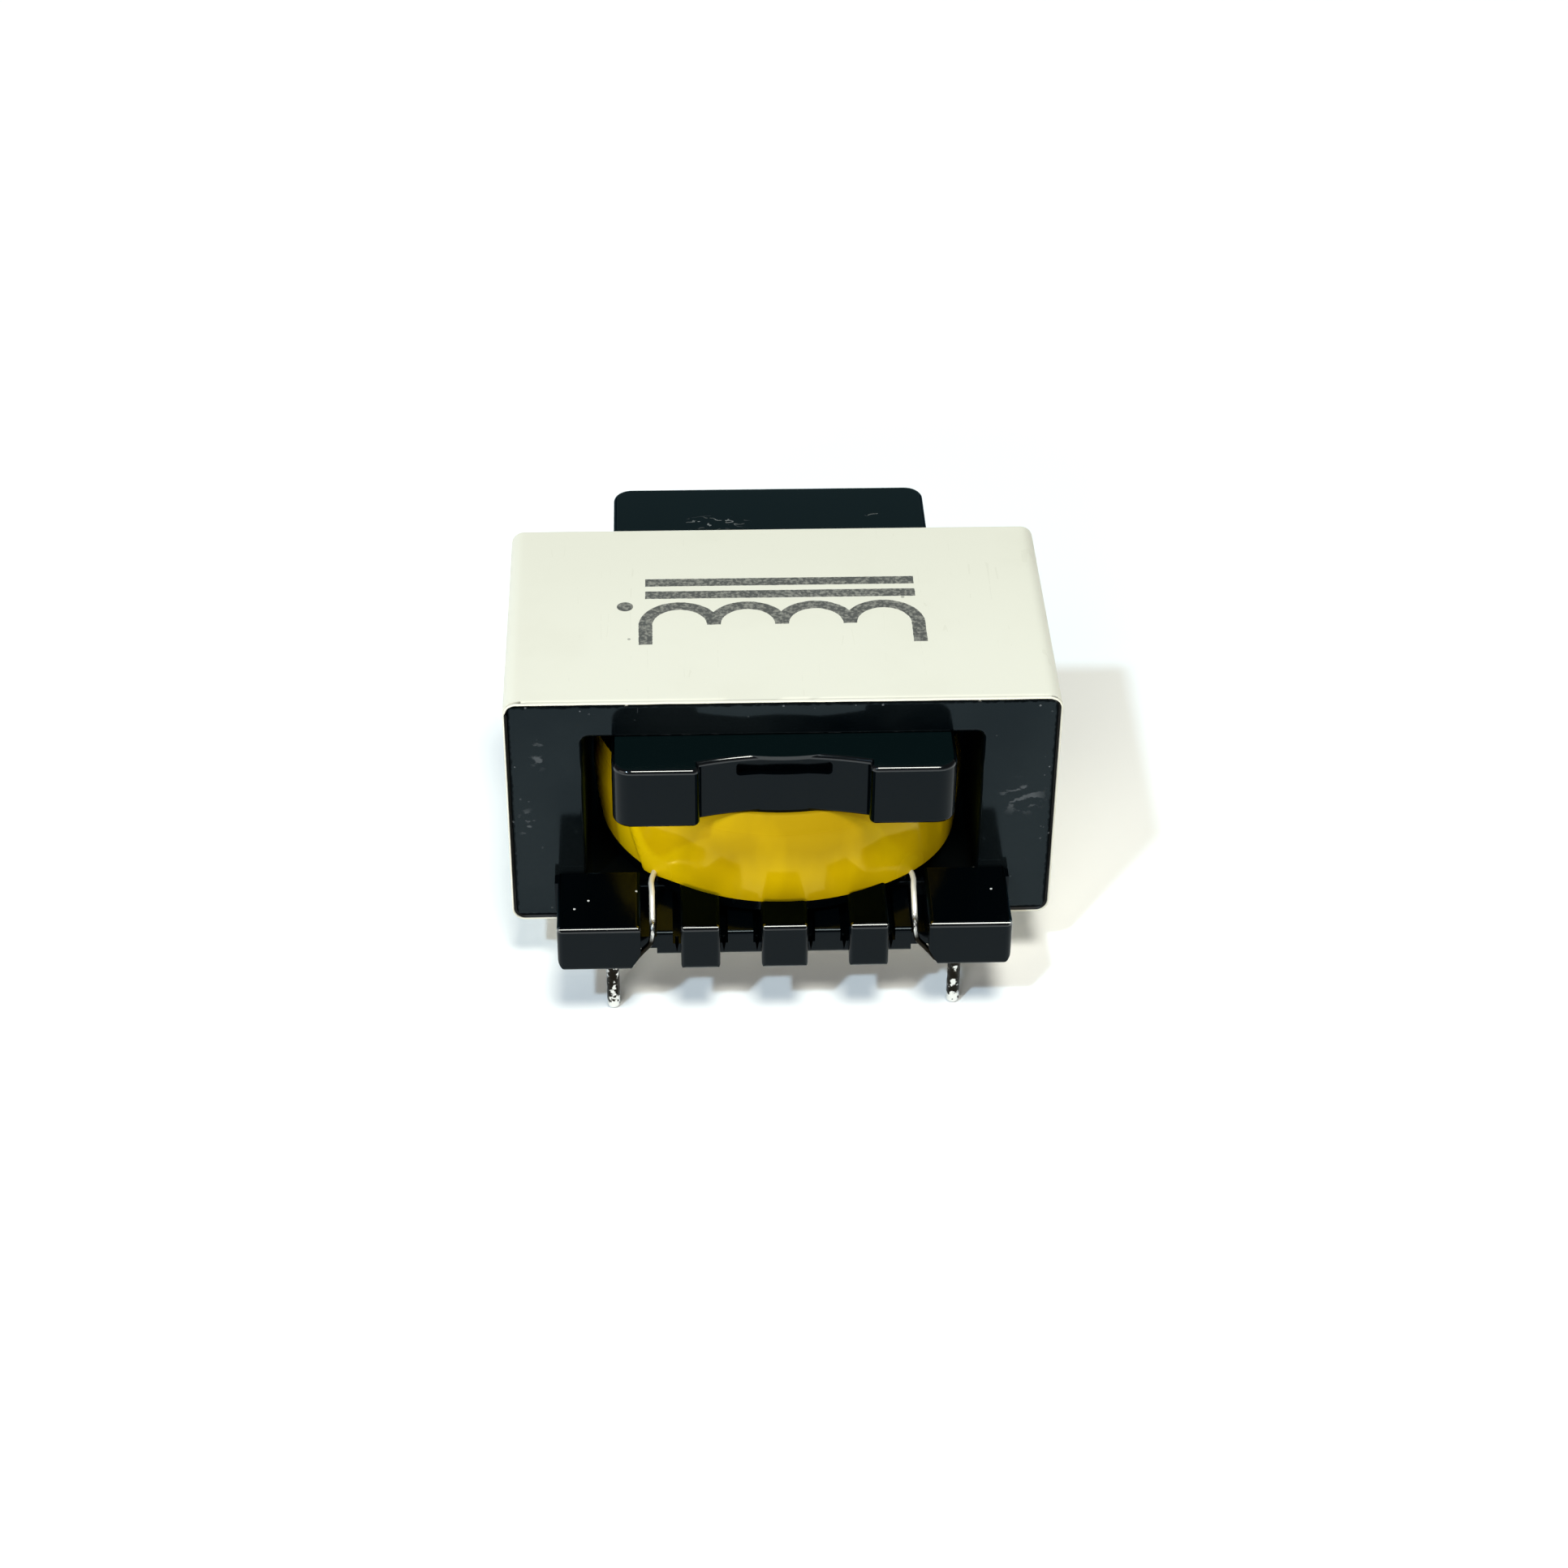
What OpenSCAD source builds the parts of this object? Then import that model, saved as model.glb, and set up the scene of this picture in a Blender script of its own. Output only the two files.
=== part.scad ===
// Through-hole inductor: two ferrite core halves with a round centre post, banded round a pinned
// bobbin that carries a taped copper coil. Millimetres, +Z up. The origin lies in the middle of the
// four pins, at the level of their tips. The front is -Y.

/* [Core] */
// Width of the ferrite core across its two legs
core_w = 23.7; // [23:0.1:24.4]
// Depth of the core from front to rear
core_d = 13.5; // [13.1:0.1:13.9]
// Height of the two core halves together
core_h = 11.5; // [11.1:0.1:12.1]
// Thickness of each yoke, above and below the window
yoke_t = 1.75; // [1.55:0.05:1.85]
// Width of each outer leg
leg_w = 3.25; // [3.05:0.05:3.45]
// Diameter of the round centre post
post_d = 8.4; // [7.6:0.1:8.8]
// Air gap ground into the centre post
air_gap = 0.5; // [0.2:0.1:1]
// Corner radius of the core seen from the front
core_corner_r = 0.5; // [0.3:0.05:0.6]
// Radius of the edges round the core's faces
core_edge_r = 0.2; // [0.1:0.05:0.25]

/* [Band] */
// Thickness of the band wrapped round the core
band_t = 0.1; // [0.05:0.05:0.2]
// How far the band stands past each face of the core
band_proud = 0.1; // [0.05:0.05:0.2]

/* [Bobbin] */
// Thickness of the upper flange, which the core rests on
upper_flange_t = 3; // [2.6:0.1:3.2]
// Thickness of the lower flange in the core window
lower_flange_t = 0.5; // [0.4:0.05:0.7]
// Wall of the tube round the centre post
tube_wall = 0.75; // [0.5:0.05:1]
// Width of the flange lobes in front of and behind the core
lobe_w = 14.7; // [14.1:0.1:15.3]
// How far the ears of the front lobe reach past the core
front_lobe_reach = 2.5; // [2.3:0.1:2.7]
// How far the rear lobe reaches past the core
rear_lobe_reach = 6.75; // [5.5:0.25:7]
// Width of each ear of the front lobe
ear_w = 3.72; // [3.3:0.01:4]
// How far the arched middle of the front lobe lies behind its ears
ear_step = 1.05; // [0.9:0.01:1.2]
// Radius of the outer corners of the lobes seen from above
lobe_corner_r = 0.85; // [0.6:0.05:1]

/* [Pin rails] */
// Width of each pin rail
rail_w = 19.7; // [19.2:0.1:20.2]
// Height of each pin rail
rail_h = 2.3; // [2.15:0.05:2.5]
// How far the front rail reaches past the core
rail_reach = 4.2; // [3.9:0.1:4.5]
// Width of the end blocks that hold the pins
block_w = 3.6; // [3.3:0.1:3.8]
// Thickness of the plates between the ribs
plate_t = 1.25; // [1.1:0.05:1.4]
// How far the underside of the coil lies below the tops of the ribs
channel_drop = 0.25; // [0.2:0.05:0.35]

/* [Pins] */
// Diameter of the pins
pin_d = 0.6; // [0.5:0.05:0.8]
// Distance between the two pins of a row
pin_pitch = 15; // [14.5:0.1:15.4]
// Distance between the front and rear rows
row_pitch = 22.5; // [21.5:0.1:23]
// Length of pin below the rails
pin_out = 2.9; // [2.5:0.05:3.5]

/* [Winding] */
// Diameter of the wire of the two leads
lead_d = 0.25; // [0.2:0.01:0.28]
// Thickness of the tape round the coil
tape_t = 0.15; // [0.1:0.01:0.2]
// How far the coil bulges out of the core at the front and the rear
coil_stretch = 0.75; // [0.4:0.05:0.9]

/* [Hidden] */
$fn = 64;

// Margin by which a cutting shape stands clear of what it cuts
over = 1;

// Clearances between the bobbin and the core
post_clear = 0.15;
flange_clear = 0.3;
lower_play = 0.1;
rail_clear = 0.1;

// Levels, from the rails up
z_rail_bottom = pin_out;
z_rail_top = z_rail_bottom + rail_h;
z_plate_top = z_rail_bottom + plate_t;
z_coil_bottom = z_rail_top - channel_drop;
z_flange_bottom = z_coil_bottom - lower_flange_t;
z_window_bottom = z_flange_bottom - lower_play;
z_core_bottom = z_window_bottom - yoke_t;
z_core_top = z_core_bottom + core_h;
z_window_top = z_core_top - yoke_t;
z_coil_top = z_window_top - upper_flange_t;
z_split = z_core_bottom + core_h / 2;

// Core window, and the small fillet in its corners
core_face = core_d / 2;
window_w = core_w - 2 * leg_w;
window_h = z_window_top - z_window_bottom;
window_fillet = 0.3;

// Bobbin in plan
flange_r = window_w / 2 - flange_clear;
flange_tuck = 0.15;
tube_r_in = post_d / 2 + post_clear;
tube_r = tube_r_in + tube_wall;
lobe_edge_r = 0.2;
ear_inner_r = 0.3;
ear_front = core_face + front_lobe_reach;
ear_back = core_face / 2;
ear_inner = lobe_w / 2 - ear_w;
arch_r = 14;
arch_front = ear_front - ear_step;
arch_depth = arch_front - ear_back;
arch_overlap = 0.5;
arch_half_angle = asin((ear_inner + arch_overlap) / arch_r);
flange_core_x = lobe_w / 2 - 2 * lobe_edge_r;

// Shallow recess in the face of the front lobe
recess_w = 4.1;
recess_h = 0.68;
recess_drop = 0.27;
recess_depth = 0.3;
recess_r = 0.2;

// Pin rails
rail_edge_r = 0.2;
block_plan_r = 0.3;
block_foot_r = 0.55;
block_chamfer_w = 0.45;
block_chamfer_h = 0.9;
block_inner = rail_w / 2 - block_w;
shoulder_w = 0.15;
shoulder_d = 0.6;
plate_set_back = 1;
centre_rib_w = 2;
side_rib_w = 1.7;
side_rib_x = 3.65;
groove_w = 0.35;
groove_front = 0.5;
groove_top = 0.6;
groove_floor = 0.15;
lead_slot_w = 0.7;
coil_gap = 0.15;
pin_inset = 1.1;
rear_rail_reach = row_pitch - rail_reach - core_d + 2 * pin_inset;

// Pins
pin_r = pin_d / 2;
pin_tip_r = 0.2;
pin_held = 1.6;
shank_step = 0.03;
shank_r = pin_r - shank_step;
shank_out = 0.5;
front_pin_y = -(core_face + rail_reach - pin_inset);
rear_pin_y = front_pin_y + row_pitch;

// Coil, which is fullest a little below its middle
coil_r = flange_r;
coil_h = z_coil_top - z_coil_bottom;
coil_crown = 0.32;
z_crown = z_coil_bottom + coil_crown * coil_h;

// Leads: out of the coil, forward and down a slot beside the block, and part of the way round the pin
lead_r = lead_d / 2;
lead_sides = 10;
lead_steps = 3;
lead_room = 0.06;
lead_gap = 0.02;
lead_root_depth = 0.85;
lead_splay = 0.45;
lead_run = 0.55;
lead_x = block_inner - lead_slot_w + lead_r + lead_room;
lead_root_x = lead_x - lead_splay;
lead_root_y = coil_front(coil_r - tape_t - lead_root_depth, lead_root_x);
lead_out_y = coil_front(coil_r, lead_x) - lead_run;
z_lead = z_coil_bottom + lead_r + lead_gap;
plate_front = plate_set_back - core_face - rail_reach;

// Turn of a lead round the foot of its pin
wrap_r = shank_r + lead_r + lead_gap;
wrap_angle = 250;
wrap_step = 25;
wrap_drop = 0.22;
z_wrap = z_rail_bottom - wrap_drop;
wrap_reach = 0.75;

// Bends of a lead: sideways, back from the front of the plates, and the share of the way down to its turn
lead_bend = [
    [0, 1.85, 0.04], [0, 1.2, 0.17], [0, 0.65, 0.31], [0, 0.3, 0.37],
    [0.02, 0.15, 0.5], [0.1, 0.1, 0.66], [0.38, 0.05, 0.79], [0.68, -0.07, 0.91]
];
lead_route = concat(
    [[lead_root_x, lead_root_y, z_lead], [lead_x, lead_out_y, z_lead]],
    [for (b = lead_bend) [lead_x + b[0], plate_front + b[1], z_lead + b[2] * (z_wrap - z_lead)]],
    [for (dx = [wrap_reach, 0]) [pin_pitch / 2 - dx, front_pin_y - wrap_r, z_wrap]]
);
wrap_path = [
    for (a = [wrap_step : wrap_step : wrap_angle])
        [pin_pitch / 2 + wrap_r * sin(a), front_pin_y - wrap_r * cos(a), z_wrap]
];
lead_path = concat(smooth(lead_route, lead_steps), wrap_path);

// Solder round the foot of each front pin
solder_h = shank_out;
solder_flare = 0.07;
solder_tip_r = pin_r + lead_room;
solder_mid_r = wrap_r + lead_r + lead_room;
solder_top_r = solder_mid_r + solder_flare;

// Front of a coil of radius r, at a distance x from its middle
function coil_front(r, x) = -(coil_stretch + sqrt(r * r - x * x));

// Point at u, from 0 to 1, on a smooth curve between points i and i + 1
function curve_point(points, i, u) =
    let (
        last = len(points) - 1,
        a = points[max(i - 1, 0)],
        b = points[i],
        c = points[i + 1],
        d = points[min(i + 2, last)]
    )
    b + u * (c - a + u * (2 * a - 5 * b + 4 * c - d + u * (3 * b - a - 3 * c + d))) / 2;

// Smooth path through the points, with a number of steps to each stretch
function smooth(points, steps) = concat(
    [for (i = [0 : len(points) - 2], k = [0 : steps - 1]) curve_point(points, i, k / steps)],
    [points[len(points) - 1]]
);

function unit(v) = v / norm(v);

// Direction of a path at point i
function heading(path, i) = unit(path[min(i + 1, len(path) - 1)] - path[max(i - 1, 0)]);

// Ring of points round point i of a path
function ring(path, i, r, sides) =
    let (
        ahead = heading(path, i),
        side = unit(cross(ahead, [1, 1, 1])),
        up = cross(side, ahead)
    )
    [for (k = [0 : sides - 1]) path[i] + r * (cos(360 * k / sides) * side + sin(360 * k / sides) * up)];

// Tube of a number of flat sides along a path
module tube(path, r, sides) {
    last = len(path) - 1;
    polyhedron(
        points = [for (i = [0 : last]) each ring(path, i, r, sides)],
        faces = concat(
            [[for (k = [sides - 1 : -1 : 0]) k]],
            [[for (k = [0 : sides - 1]) last * sides + k]],
            [for (i = [0 : last - 1], k = [0 : sides - 1])
                let (n = (k + 1) % sides) [i * sides + k, i * sides + n, (i + 1) * sides + k]],
            [for (i = [0 : last - 1], k = [0 : sides - 1])
                let (n = (k + 1) % sides) [i * sides + n, (i + 1) * sides + n, (i + 1) * sides + k]]
        )
    );
}

// Rectangle between two corners with rounded corners
module round_rect(x0, x1, y0, y1, r) {
    translate([x0 + r, y0]) square([x1 - x0 - 2 * r, y1 - y0]);
    translate([x0, y0 + r]) square([x1 - x0, y1 - y0 - 2 * r]);
    for (x = [x0 + r, x1 - r], y = [y0 + r, y1 - r])
        translate([x, y]) circle(r);
}

// Extrusions of an outline drawn in XZ or in YZ
module along_y(y0, y1) {
    translate([0, y1, 0]) rotate([90, 0, 0]) linear_extrude(y1 - y0) children();
}

module along_x(x0, x1) {
    translate([x0, 0, 0]) rotate([90, 0, 90]) linear_extrude(x1 - x0) children();
}

// Box with rounded edges: r holds the radii of the edges that run along x, y and z
module soft_box(lo, hi, r) {
    intersection() {
        along_x(lo.x, hi.x) round_rect(lo.y, hi.y, lo.z, hi.z, r.x);
        along_y(lo.y, hi.y) round_rect(lo.x, hi.x, lo.z, hi.z, r.y);
        translate([0, 0, lo.z]) linear_extrude(hi.z - lo.z)
            round_rect(lo.x, hi.x, lo.y, hi.y, r.z);
    }
}

// Half section of a rounded edge: w wide, h high, rounded where x = w
module edge_section(w, h, e) {
    difference() {
        square([w, h]);
        translate([w - e, h - e]) corner_waste(e);
        translate([w - e, e]) mirror([0, 1]) corner_waste(e);
    }
}

// Slab from z = 0 with a rounded front at y_front and a square back at y_back: r0 rounds its front corner
// at x0, and r1, which is no smaller, the one at x1
module tongue(x0, x1, y_front, y_back, h, r0, r1, e) {
    half = (x1 - x0) / 2;
    flat = x1 - r1 - x0;
    translate([x0 + half, 0, 0]) along_y(y_front + r1, y_back) {
        edge_section(half, h, e);
        mirror([1, 0]) edge_section(half, h, e);
    }
    translate([x1 - r1, y_front + r1, 0])
        rotate([0, 0, -90]) rotate_extrude(angle = 90) edge_section(r1, h, e);
    if (r1 > r0)
        translate([x1 - r1, 0, 0]) along_y(y_front + r0, y_front + r1)
            mirror([1, 0]) edge_section(flat, h, e);
    translate([x1 - r1, y_front + r0, 0])
        rotate([90, 0, -90]) linear_extrude(flat - r0) edge_section(r0, h, e);
    translate([x0 + r0, y_front + r0, 0])
        rotate([0, 0, 180]) rotate_extrude(angle = 90) edge_section(r0, h, e);
}

// Corner waste outside a quarter circle, drawn into the quadrant x > 0, y > 0 of the given corner
module corner_waste(r) {
    difference() {
        square(r);
        circle(r);
    }
}

// Outline of the coil in plan
module coil_outline(r) {
    for (y = [-coil_stretch, coil_stretch])
        translate([0, y]) circle(r);
    translate([-r, -coil_stretch]) square([2 * r, 2 * coil_stretch]);
}

// Moves a piece drawn round the axis of the core, so that the origin lies between the four pins
module between_pins() {
    translate([0, -(front_pin_y + rear_pin_y) / 2, 0]) children();
}

// Both core halves as one block with rounded edges
module core_block() {
    soft_box(
        [-core_w / 2, -core_face, z_core_bottom], [core_w / 2, core_face, z_core_top],
        [core_edge_r, core_corner_r, core_edge_r]
    );
}

// Section of the cut round a mouth of the window: x runs out from the window's edge, y out of the face
module mouth_section() {
    inside = window_fillet / 2;
    difference() {
        translate([-inside, -core_edge_r]) square([inside + core_edge_r, core_edge_r + over]);
        translate([core_edge_r, -core_edge_r]) circle(core_edge_r);
    }
}

// Cut that rounds the window's mouth in the rear face, swept round the window's outline
module window_mouth() {
    straight_x = window_w / 2 - window_fillet;
    straight_z = window_h / 2 - window_fillet;
    translate([0, core_face, z_window_bottom + window_h / 2]) for (side = [0, 1]) {
        mirror([side, 0, 0]) translate([window_w / 2, 0, -straight_z])
            linear_extrude(2 * straight_z) mouth_section();
        mirror([0, 0, side]) translate([straight_x, 0, window_h / 2]) rotate([0, -90, 0])
            linear_extrude(2 * straight_x) mouth_section();
        for (level = [0, 1])
            mirror([side, 0, 0]) mirror([0, 0, level]) translate([straight_x, 0, -straight_z])
                rotate([-90, 0, 0]) rotate_extrude(angle = 90)
                    translate([window_fillet, 0]) mouth_section();
    }
}

// Window through the core, with rounded mouths at the front and the rear
module core_window() {
    half = window_w / 2;
    along_y(-core_face - over, core_face + over)
        round_rect(-half, half, z_window_bottom, z_window_top, window_fillet);
    for (end = [0, 1])
        mirror([0, end, 0]) window_mouth();
}

// One core half, between two levels, with its half of the centre post
module core_half(z0, z1, post_z0, post_z1) {
    between_pins() color([0.24, 0.26, 0.28]) {
        difference() {
            intersection() {
                core_block();
                translate([-core_w, -core_d, z0]) cube([2 * core_w, 2 * core_d, z1 - z0]);
            }
            core_window();
        }
        translate([0, 0, post_z0]) cylinder(h = post_z1 - post_z0, d = post_d);
    }
}

module core_half_upper() {
    core_half(z_split, z_core_top, z_split + air_gap / 2, z_core_top - yoke_t / 2);
}

module core_half_lower() {
    core_half(z_core_bottom, z_split, z_core_bottom + yoke_t / 2, z_split - air_gap / 2);
}

module core_band() {
    half = core_w / 2;
    face = core_face + band_proud;
    between_pins() color([0.93, 0.94, 0.89]) along_y(-face, face) difference() {
        round_rect(
            -half - band_t, half + band_t, z_core_bottom - band_t, z_core_top + band_t,
            core_corner_r + band_t
        );
        round_rect(-half, half, z_core_bottom, z_core_top, core_corner_r);
    }
}

// Upper flange: a disc in the window, two ears and an arched middle in front, a tongue behind
module upper_flange() {
    translate([0, 0, z_coil_top]) difference() {
        union() {
            cylinder(h = upper_flange_t, r = flange_r);
            translate([-flange_core_x, -ear_back, 0])
                cube([2 * flange_core_x, 2 * ear_back, upper_flange_t]);
            for (side = [0, 1])
                mirror([side, 0, 0]) tongue(
                    ear_inner, lobe_w / 2, -ear_front, -ear_back, upper_flange_t,
                    ear_inner_r, lobe_corner_r, lobe_edge_r
                );
            translate([0, -arch_front - arch_r, 0]) rotate([0, 0, 90 - arch_half_angle])
                rotate_extrude(angle = 2 * arch_half_angle)
                    translate([arch_r + arch_depth, 0]) mirror([1, 0])
                        edge_section(arch_depth, upper_flange_t, lobe_edge_r);
            mirror([0, 1, 0]) tongue(
                -lobe_w / 2, lobe_w / 2, -core_face - rear_lobe_reach, -ear_back, upper_flange_t,
                lobe_corner_r, lobe_corner_r, lobe_edge_r
            );
        }
        along_y(-ear_front, -arch_front + recess_depth) round_rect(
            -recess_w / 2, recess_w / 2,
            upper_flange_t - recess_drop - recess_h, upper_flange_t - recess_drop, recess_r
        );
    }
}

// End block of a rail on the +X side, seen from the front with a round outer foot and a cut inner one
module end_block(reach) {
    outer = rail_w / 2;
    y_front = -core_face - reach;
    y_back = -core_face - rail_clear;
    intersection() {
        along_y(y_front, y_back) difference() {
            round_rect(block_inner, outer, z_rail_bottom, z_rail_top, rail_edge_r);
            translate([outer - block_foot_r, z_rail_bottom + block_foot_r])
                mirror([0, 1]) corner_waste(block_foot_r);
            polygon([
                [block_inner - over, z_rail_bottom - over],
                [block_inner + block_chamfer_w, z_rail_bottom - over],
                [block_inner + block_chamfer_w, z_rail_bottom],
                [block_inner, z_rail_bottom + block_chamfer_h],
                [block_inner - over, z_rail_bottom + block_chamfer_h]
            ]);
        }
        soft_box(
            [block_inner - over, y_front, z_rail_bottom], [outer, y_back, z_rail_top],
            [rail_edge_r, rail_edge_r, block_plan_r]
        );
    }
    translate([outer - block_w / 2, y_back - shoulder_d, z_rail_bottom + block_foot_r])
        cube([block_w / 2 + shoulder_w, shoulder_d, rail_h - block_foot_r - rail_edge_r]);
}

// Rib of a rail, centred on x
module rib(x, w, reach) {
    soft_box(
        [x - w / 2, -core_face - reach, z_rail_bottom],
        [x + w / 2, -core_face - rail_clear, z_rail_top],
        [rail_edge_r, rail_edge_r, rail_edge_r]
    );
}

// Channel along the top of the plates, from y_front to the rear
module channel(x, w, y_front) {
    translate([x, y_front - over, z_plate_top - groove_top])
        cube([w, over - y_front - core_face, groove_top + over]);
}

// Groove beside a rib: a channel that runs out down the front of the plates to a point
module groove(x, y_front) {
    channel(x, groove_w, y_front);
    along_y(y_front - over, y_front + groove_front) polygon([
        [x, z_plate_top], [x + groove_w / 2, z_rail_bottom + groove_floor], [x + groove_w, z_plate_top]
    ]);
}

// Slot for a lead beside the block on the +X side: a channel that is open down the front of the plates
module lead_slot(y_front) {
    x = block_inner - lead_slot_w;
    channel(x, lead_slot_w + over, y_front);
    translate([x, y_front - over, z_rail_bottom - over])
        cube([lead_slot_w + over, over + groove_front, rail_h + 2 * over]);
}

// Pin rail in front of the core: plates set back between ribs and two end blocks
module rail(reach) {
    y_plate = plate_set_back - core_face - reach;
    ribs = [[0, centre_rib_w], [side_rib_x, side_rib_w], [-side_rib_x, side_rib_w]];
    difference() {
        union() {
            difference() {
                soft_box(
                    [-block_inner - over, y_plate, z_rail_bottom],
                    [block_inner + over, -core_face - rail_clear, z_plate_top],
                    [rail_edge_r, rail_edge_r, rail_edge_r]
                );
                for (place = ribs, side = [-1, 1])
                    groove(place[0] + side * (place[1] + groove_w) / 2 - groove_w / 2, y_plate);
                for (side = [0, 1])
                    mirror([side, 0, 0]) lead_slot(y_plate);
            }
            for (side = [0, 1])
                mirror([side, 0, 0]) end_block(reach);
            for (place = ribs)
                rib(place[0], place[1], reach);
        }
        translate([0, 0, z_coil_bottom]) linear_extrude(rail_h) coil_outline(coil_r + coil_gap);
    }
}

// Lower flange: a plate under the whole coil, which the ribs of both rails carry
module lower_flange() {
    translate([0, 0, z_flange_bottom]) linear_extrude(lower_flange_t) coil_outline(flange_r - flange_tuck);
}

module bobbin() {
    between_pins() color([0.07, 0.09, 0.10]) difference() {
        union() {
            upper_flange();
            translate([0, 0, z_flange_bottom]) cylinder(h = z_window_top - z_flange_bottom, r = tube_r);
            lower_flange();
            rail(rail_reach);
            mirror([0, 1, 0]) rail(rear_rail_reach);
        }
        translate([0, 0, z_flange_bottom - over])
            cylinder(h = z_window_top - z_flange_bottom + 2 * over, r = tube_r_in);
        for (x = [-pin_pitch / 2, pin_pitch / 2], y = [front_pin_y, rear_pin_y])
            translate([x, y, z_rail_bottom - over]) cylinder(h = over + pin_held, r = shank_r);
    }
}

// Space inside a coil of radius r, fullest at the crown and cut flat by the flanges
module coil_space(r) {
    intersection() {
        translate([0, 0, z_crown]) {
            for (y = [-coil_stretch, coil_stretch])
                translate([0, y, 0]) sphere(r);
            rotate([90, 0, 0]) cylinder(h = 2 * coil_stretch, r = r, center = true);
        }
        translate([-core_w, -core_w, z_coil_bottom]) cube([2 * core_w, 2 * core_w, coil_h]);
    }
}

// Round rod between two points
module rod(a, b, r) {
    run = b - a;
    translate(a) rotate([0, acos(run.z / norm(run)), atan2(run.y, run.x)])
        cylinder(h = norm(run), r = r);
}

// One lead of the coil on the +X side, from inside the coil to its turn round the pin
module lead() {
    tube(lead_path, lead_r, lead_sides);
}

module winding() {
    between_pins() color([0.72, 0.45, 0.20]) {
        difference() {
            coil_space(coil_r - tape_t);
            translate([0, 0, z_coil_bottom - over]) cylinder(h = coil_h + 2 * over, r = tube_r);
        }
        for (side = [0, 1])
            mirror([side, 0, 0]) lead();
    }
}

module winding_tape() {
    between_pins() color([0.83, 0.67, 0.08]) difference() {
        coil_space(coil_r);
        coil_space(coil_r - tape_t);
        for (side = [0, 1])
            mirror([side, 0, 0]) rod(lead_route[0], lead_route[1], lead_r + lead_room);
    }
}

// Pin with a rounded tip at the origin's level and a slightly thinner shank, which the rail holds
module pin(x, y) {
    z_shank = z_rail_bottom - shank_out;
    between_pins() color([0.75, 0.75, 0.73]) translate([x, y, 0]) rotate_extrude() {
        translate([0, pin_tip_r]) square([pin_r, z_shank - pin_tip_r]);
        translate([0, pin_tip_r]) square([shank_r, z_rail_bottom + pin_held - pin_tip_r]);
        square([pin_r - pin_tip_r, pin_tip_r]);
        intersection() {
            translate([pin_r - pin_tip_r, pin_tip_r]) circle(pin_tip_r);
            square(pin_r);
        }
    }
}

module pin_front_left() {
    pin(-pin_pitch / 2, front_pin_y);
}

module pin_front_right() {
    pin(pin_pitch / 2, front_pin_y);
}

module pin_rear_left() {
    pin(-pin_pitch / 2, rear_pin_y);
}

module pin_rear_right() {
    pin(pin_pitch / 2, rear_pin_y);
}

// Solder collar on the +X side, round the pin and the turn of the lead
module solder() {
    between_pins() color([0.80, 0.81, 0.82]) difference() {
        translate([pin_pitch / 2, front_pin_y, z_rail_bottom - solder_h]) rotate_extrude() polygon([
            [shank_r, 0], [solder_tip_r, 0], [solder_mid_r, solder_h - wrap_drop],
            [solder_top_r, solder_h], [shank_r, solder_h]
        ]);
        lead();
    }
}

module solder_left() {
    mirror([1, 0, 0]) solder();
}

module solder_right() {
    solder();
}

core_half_upper();
core_half_lower();
core_band();
bobbin();
winding();
winding_tape();
pin_front_left();
pin_front_right();
pin_rear_left();
pin_rear_right();
solder_left();
solder_right();
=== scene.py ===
"""Looks of a through-hole inductor: a taped coil on a pinned bobbin in a banded ferrite core."""

import math

import bmesh
import bpy
from bpy.props import FloatProperty, FloatVectorProperty, PointerProperty
from mathutils import Matrix, Vector, noise


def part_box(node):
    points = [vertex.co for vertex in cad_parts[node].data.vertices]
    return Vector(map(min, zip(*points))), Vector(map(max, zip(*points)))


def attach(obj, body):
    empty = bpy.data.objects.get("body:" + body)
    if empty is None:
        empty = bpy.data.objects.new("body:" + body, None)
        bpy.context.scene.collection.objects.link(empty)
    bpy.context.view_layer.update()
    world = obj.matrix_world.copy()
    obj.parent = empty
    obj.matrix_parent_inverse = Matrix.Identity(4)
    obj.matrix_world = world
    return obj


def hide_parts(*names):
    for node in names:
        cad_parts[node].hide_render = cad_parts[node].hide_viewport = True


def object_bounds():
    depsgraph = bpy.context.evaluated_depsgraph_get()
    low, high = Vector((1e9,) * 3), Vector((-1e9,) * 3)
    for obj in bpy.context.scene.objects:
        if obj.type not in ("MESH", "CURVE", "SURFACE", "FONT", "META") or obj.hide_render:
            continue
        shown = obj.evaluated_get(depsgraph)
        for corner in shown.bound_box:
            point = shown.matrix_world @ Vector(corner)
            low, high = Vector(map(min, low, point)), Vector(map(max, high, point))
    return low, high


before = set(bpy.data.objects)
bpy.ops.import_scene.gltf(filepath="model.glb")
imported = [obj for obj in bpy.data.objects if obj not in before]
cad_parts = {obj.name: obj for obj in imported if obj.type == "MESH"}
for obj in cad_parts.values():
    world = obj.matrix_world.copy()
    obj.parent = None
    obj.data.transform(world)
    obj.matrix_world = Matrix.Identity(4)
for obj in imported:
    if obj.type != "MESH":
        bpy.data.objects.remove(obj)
CAD_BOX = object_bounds()

bl_info = {
    "name": "Banded Inductor",
    "version": (1, 0, 0),
    "blender": (4, 5, 0),
    "location": "3D View > Sidebar > Inductor",
    "description": "Finishes the pieces of a wound inductor and sets a plain stage round it",
    "category": "Object",
}

MM = 0.001
TINY = 1e-7
BODY = "root"

# Camera, fitted to the photograph's square frame
FRAME_SIDE = 1932
FOCAL_PIXELS = 3952.2
SENSOR_WIDTH = 36.0
EYE = Vector((-4.78, -119.35, 92.72)) * MM
PITCH = math.radians(36.703)
YAW = math.radians(-2.49)
ROLL = math.radians(0.639)
CLIP_NEAR = 0.005
CLIP_FAR = 30.0

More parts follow.
